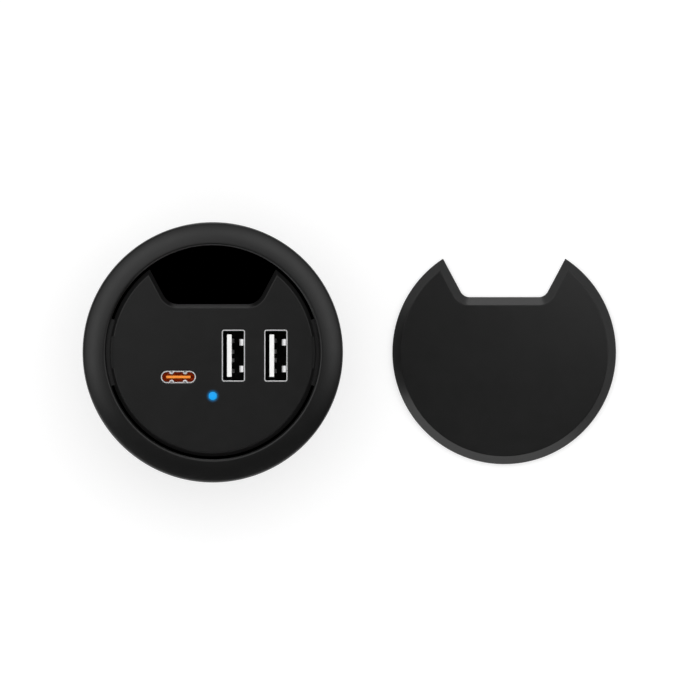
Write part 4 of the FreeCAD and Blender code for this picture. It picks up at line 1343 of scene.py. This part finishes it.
ceiling = COVER_BASE + COVER_HOLLOW
insets, drops = bevelled_edge(COVER_BEVEL, EDGE_BLEND)
cover_insets = [COVER_WALL, COVER_WALL, 0.0, *insets, COVER_BEVEL + 3 * EDGE_BLEND]
cover_heights = [ceiling, COVER_BASE, COVER_BASE, *(COVER_TOP - drops), COVER_TOP]
outlines = [cover_outline(inset) for inset in cover_insets]
cover_surfaces = [wall(outlines, cover_heights)]
cover_surfaces.append(filled([outlines[-1]], COVER_TOP))
cover_surfaces.append(filled([outlines[0]], ceiling))
tab_outer = COVER_RADIUS - COVER_WALL + TAB_SINK
tab_inner = tab_outer - TAB_THICKNESS
tab_half_angle = math.asin(TAB_HALF_WIDTH / tab_outer)
tab_low, tab_high = SLEEVE_BOTTOM, ceiling + TAB_SINK
tab_profile = [(tab_inner, tab_low), (tab_outer, tab_low), (tab_outer, tab_high), (tab_inner, tab_high)]
for middle in (0.0, math.pi):
    cover_surfaces.append(turned(tab_profile, middle - tab_half_angle, middle + tab_half_angle, count=12))
cover_surfaces = [moved(surface, COVER_X) for surface in cover_surfaces]
piece("cover_cap_moulding", cover_surfaces, shell_plastic, "cover", ["cover_cap"])

# %% [markdown]
# ## Nodes that keep their CAD shape
#
# Boards, chips and other parts inside the housing have the right shape already. They only get
# their finishes: green laminate, tan ceramic, dark ferrite and the pale body of the light's chip.

# %% Finishes of the inner parts
board_green = moulded_plastic("circuit_board", (0.01, 0.12, 0.05), (0.015, 0.16, 0.07), 0.3, grain_mm=0.4)
ceramic = moulded_plastic("ceramic_tan", (0.45, 0.33, 0.2), (0.55, 0.42, 0.28), 0.45, 0.2, 0.005)
ferrite = moulded_plastic("ferrite", (0.03, 0.03, 0.032), (0.045, 0.045, 0.047), 0.6, 0.2, specular=0.3)
led_body = moulded_plastic("led_body", (0.75, 0.75, 0.7), (0.85, 0.85, 0.8), 0.4, 0.2, 0.004)
INNER_FINISHES = {
    "port_board": board_green, "power_board": board_green, "board_screws": screw_steel,
    "board_header": trim_plastic, "header_pins": gold,
    "led_chip": led_body, "controller_chips": trim_plastic, "chip_capacitors": ceramic,
    "filter_capacitors": can_metal, "power_inductors": ferrite, "dc_inlet_body": trim_plastic,
    "dc_inlet_pin": contact_metal, "dc_inlet_spring": contact_metal, "usb_c_contacts": gold,
}
for node_name, finish in INNER_FINISHES.items():
    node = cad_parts[node_name]
    node.data.materials.clear()
    node.data.materials.append(finish)
print("CAD nodes with a new finish:", len(INNER_FINISHES))

# %% [markdown]
# ## Camera
#
# The object is seen from straight above, with no perspective, so an orthographic camera gives
# the picture's proportions exactly. Its width and centre come from the ring's diameter in the
# picture.

# %% Camera
VIEW_WIDTH = 177.37
VIEW_CENTRE = (34.78, 0.59)
CAMERA_HEIGHT = 600.0
camera_data = bpy.data.cameras.new("camera")
camera_data.type = "ORTHO"
camera_data.ortho_scale = VIEW_WIDTH * MM
camera = new_object("camera", camera_data)
camera.location = (VIEW_CENTRE[0] * MM, VIEW_CENTRE[1] * MM, CAMERA_HEIGHT * MM)
bpy.context.scene.camera = camera
print("width of the view:", VIEW_WIDTH, "mm")

# %% [markdown]
# ## Floor
#
# The floor is a pale sheet with a round hole where the sleeve stands, as a desk has there, and a
# black well below. The well is painted shade: a pure black sheet where the space under a desk is
# dark, so the cable passage looks deep and dark. To the camera and in reflections the floor adds a
# white of its own, so it reads as white paper while a soft shadow of the object stays on it.

# %% Floor and well
FLOOR_HEIGHT = SLEEVE_BOTTOM - 0.02
FLOOR_SHADE = 0.5
FLOOR_GLOW = 0.6
HOLE_RADIUS = 28.6
FLOOR_RADII = [1500.0, 400.0, 150.0, 60.0, HOLE_RADIUS]
WELL_LOW = FLOOR_HEIGHT - 120.0


def seen_by(tree, *rays):
    """1 for the named kinds of ray, 0 for all others."""
    path = tree.nodes.new("ShaderNodeLightPath")
    share = path.outputs[rays[0]]
    for ray in rays[1:]:
        share = arithmetic(tree, "MAXIMUM", share, path.outputs[ray])
    return share


def stage_piece(name, surface, finish):
    """Mesh that belongs to the setting, not to the object."""
    mesh = mesh_of(name, surface)
    mesh.materials.append(finish)
    new_object(name, mesh)


floor_finish, floor_tree, floor_shader = new_finish("floor", grey(FLOOR_SHADE), 0.9, specular=0.0)
floor_shader.inputs["Emission Color"].default_value = (1.0, 1.0, 1.0, 1.0)
floor_seen = seen_by(floor_tree, "Is Camera Ray", "Is Glossy Ray", "Is Transmission Ray")
floor_glow = arithmetic(floor_tree, "MULTIPLY", floor_seen, FLOOR_GLOW)
floor_tree.links.new(floor_glow, floor_shader.inputs["Emission Strength"])
floor_rows = [circle(radius) for radius in FLOOR_RADII]
stage_piece("floor", wall(floor_rows, [FLOOR_HEIGHT] * len(floor_rows)), floor_finish)

# Pure black well: painted shade below the floor's hole.
well_painted_shade, _, _ = new_finish("well", grey(0.0), 1.0, specular=0.0)
well_profile = [(HOLE_RADIUS, FLOOR_HEIGHT), (HOLE_RADIUS, WELL_LOW), (0.0, WELL_LOW)]
stage_piece("well", turned(well_profile, count=96, closed=False), well_painted_shade)
print("floor at", round(FLOOR_HEIGHT, 2), "mm and the well's bottom at", round(WELL_LOW, 2), "mm")

# %% [markdown]
# ## Light
#
# Black plastic shows little colour of its own: what the eye reads is the room mirrored in it. Seen
# from above, a surface that leans by an angle mirrors what stands twice that angle from overhead.
# So the level faces show what is straight above, the ring's crown what is at half height, and the
# bevels what is near the horizon. The world is therefore a room that is pale at half height, dark
# above and dark in front, with a darker pillar at the back, written as a brightness over elevation
# and azimuth.

# %% World
ROOM_STOPS = [(20.0, 0.0), (27.0, 0.05), (50.0, 1.6), (72.0, 0.25), (86.0, 0.0)]
ROOM_BRIGHTEST = 4.0
DARK_SIDE = (-0.45, -0.1)
DARK_TURN = -0.1
PILLAR_SIDES = (0.1, 0.3)
PILLAR_SHARE = 0.7

world = bpy.data.worlds.new("world")
bpy.context.scene.world = world
world.use_nodes = True
world_tree = world.node_tree
background = world_tree.nodes["Background"]


def room_brightness(tree):
    """Brightness by direction: a ramp over the sine of the elevation, times 0 towards -Y.

    The share of the pale side rises as Y + DARK_TURN * X of the level direction passes DARK_SIDE,
    and it drops to PILLAR_SHARE where the X of that direction is small.
    """
    direction = tree.nodes.new("ShaderNodeTexCoord").outputs["Generated"]
    upright = tree.nodes.new("ShaderNodeSeparateXYZ")
    tree.links.new(direction, upright.inputs["Vector"])
    ramp = tree.nodes.new("ShaderNodeValToRGB")
    elements = ramp.color_ramp.elements
    while len(elements) < len(ROOM_STOPS):
        elements.new(0.5)
    for element, (elevation, brightness) in zip(elements, ROOM_STOPS):
        element.position = math.sin(math.radians(elevation))
        element.color = (*[brightness / ROOM_BRIGHTEST] * 3, 1.0)
    tree.links.new(upright.outputs["Z"], ramp.inputs["Fac"])
    level = vector_node(tree, "MULTIPLY", direction, (1.0, 1.0, 0.0)).outputs["Vector"]
    unit = vector_node(tree, "NORMALIZE", level).outputs["Vector"]
    flat = tree.nodes.new("ShaderNodeSeparateXYZ")
    tree.links.new(unit, flat.inputs["Vector"])
    turned_y = arithmetic(tree, "MULTIPLY_ADD", flat.outputs["X"], DARK_TURN, flat.outputs["Y"])
    side_x = arithmetic(tree, "ABSOLUTE", flat.outputs["X"])
    pillar = ranged(tree, side_x, PILLAR_SIDES, (PILLAR_SHARE, 1.0))
    pale = arithmetic(tree, "MULTIPLY", ranged(tree, turned_y, DARK_SIDE), pillar)
    shaded = arithmetic(tree, "MULTIPLY", pale, ramp.outputs["Color"])
    return arithmetic(tree, "MULTIPLY", shaded, ROOM_BRIGHTEST)


background.inputs["Color"].default_value = (1.0, 1.0, 1.0, 1.0)
world_tree.links.new(room_brightness(world_tree), background.inputs["Strength"])
print("room is brightest at an elevation of", max(ROOM_STOPS, key=lambda stop: stop[1])[0], "degrees")

# %% [markdown]
# ## Lamps
#
# A row of low soft boxes stands in front and one at the back. Only the bevels and rounded edges
# lean enough to mirror them, which draws the bright lines along cap and notch. Two near ones give
# the level faces a gentle slope from light to dark: one over the cap's upper right, narrowed by a
# grid so that it misses the ring, and one over the ring's upper left. The wide one overhead lights
# colours but is hidden from reflections, so it brings white plastic to white and leaves the black
# plastic black.

# %% Soft boxes
BOX_DISTANCE = 800.0
SCENE_CENTRE = (35.0, 0.0, 0.0)
# Azimuth, elevation, width and height in degrees, and brightness.
SOFT_BOXES = {
    "front_left": (218, 11, 34, 20, 2.1), "front": (255, 11, 40, 20, 1.75),
    "front_right": (295, 11, 36, 20, 1.75), "back": (90, 6, 26, 14, 2.6),
}


def soft_box(
    name, azimuth, elevation, width, height, brightness, distance=BOX_DISTANCE, target=SCENE_CENTRE,
    grid=180, mirrored=True,
):
    """Lamp given by its direction from its target and the angles it fills there, all in degrees.

    A lamp's power is its brightness times pi times its area. A grid narrows its light to a cone.
    """
    turn, rise = math.radians(azimuth), math.radians(elevation)
    back = np.array([math.cos(rise) * math.cos(turn), math.cos(rise) * math.sin(turn), math.sin(rise)])
    across = np.array([-math.sin(turn), math.cos(turn), 0.0])
    data = bpy.data.lights.new(name, "AREA")
    data.shape = "RECTANGLE"
    data.size = 2 * distance * MM * math.tan(math.radians(width) / 2)
    data.size_y = 2 * distance * MM * math.tan(math.radians(height) / 2)
    data.energy = brightness * math.pi * data.size * data.size_y
    data.spread = math.radians(grid)
    lamp = new_object(name, data)
    lamp.location = (np.array(target) + back * distance) * MM
    lamp.rotation_euler = Matrix(np.column_stack([across, np.cross(back, across), back]).tolist()).to_euler()
    lamp.visible_camera = False
    lamp.visible_glossy = mirrored


for name, numbers in SOFT_BOXES.items():
    soft_box(name, *numbers)
soft_box("near_cap", 90, 90, 18.2, 18.2, 0.129, distance=187.0, target=(112.0, 45.0, 0.0), grid=52)
soft_box("near_ring", 138, 67, 28.6, 28.6, 0.34, distance=235.0)
soft_box("overhead", 90, 90, 60, 60, 1.75, distance=1000.0, mirrored=False)
bpy.context.scene.view_settings.view_transform = "Standard"
print("lamps:", len(bpy.data.lights))
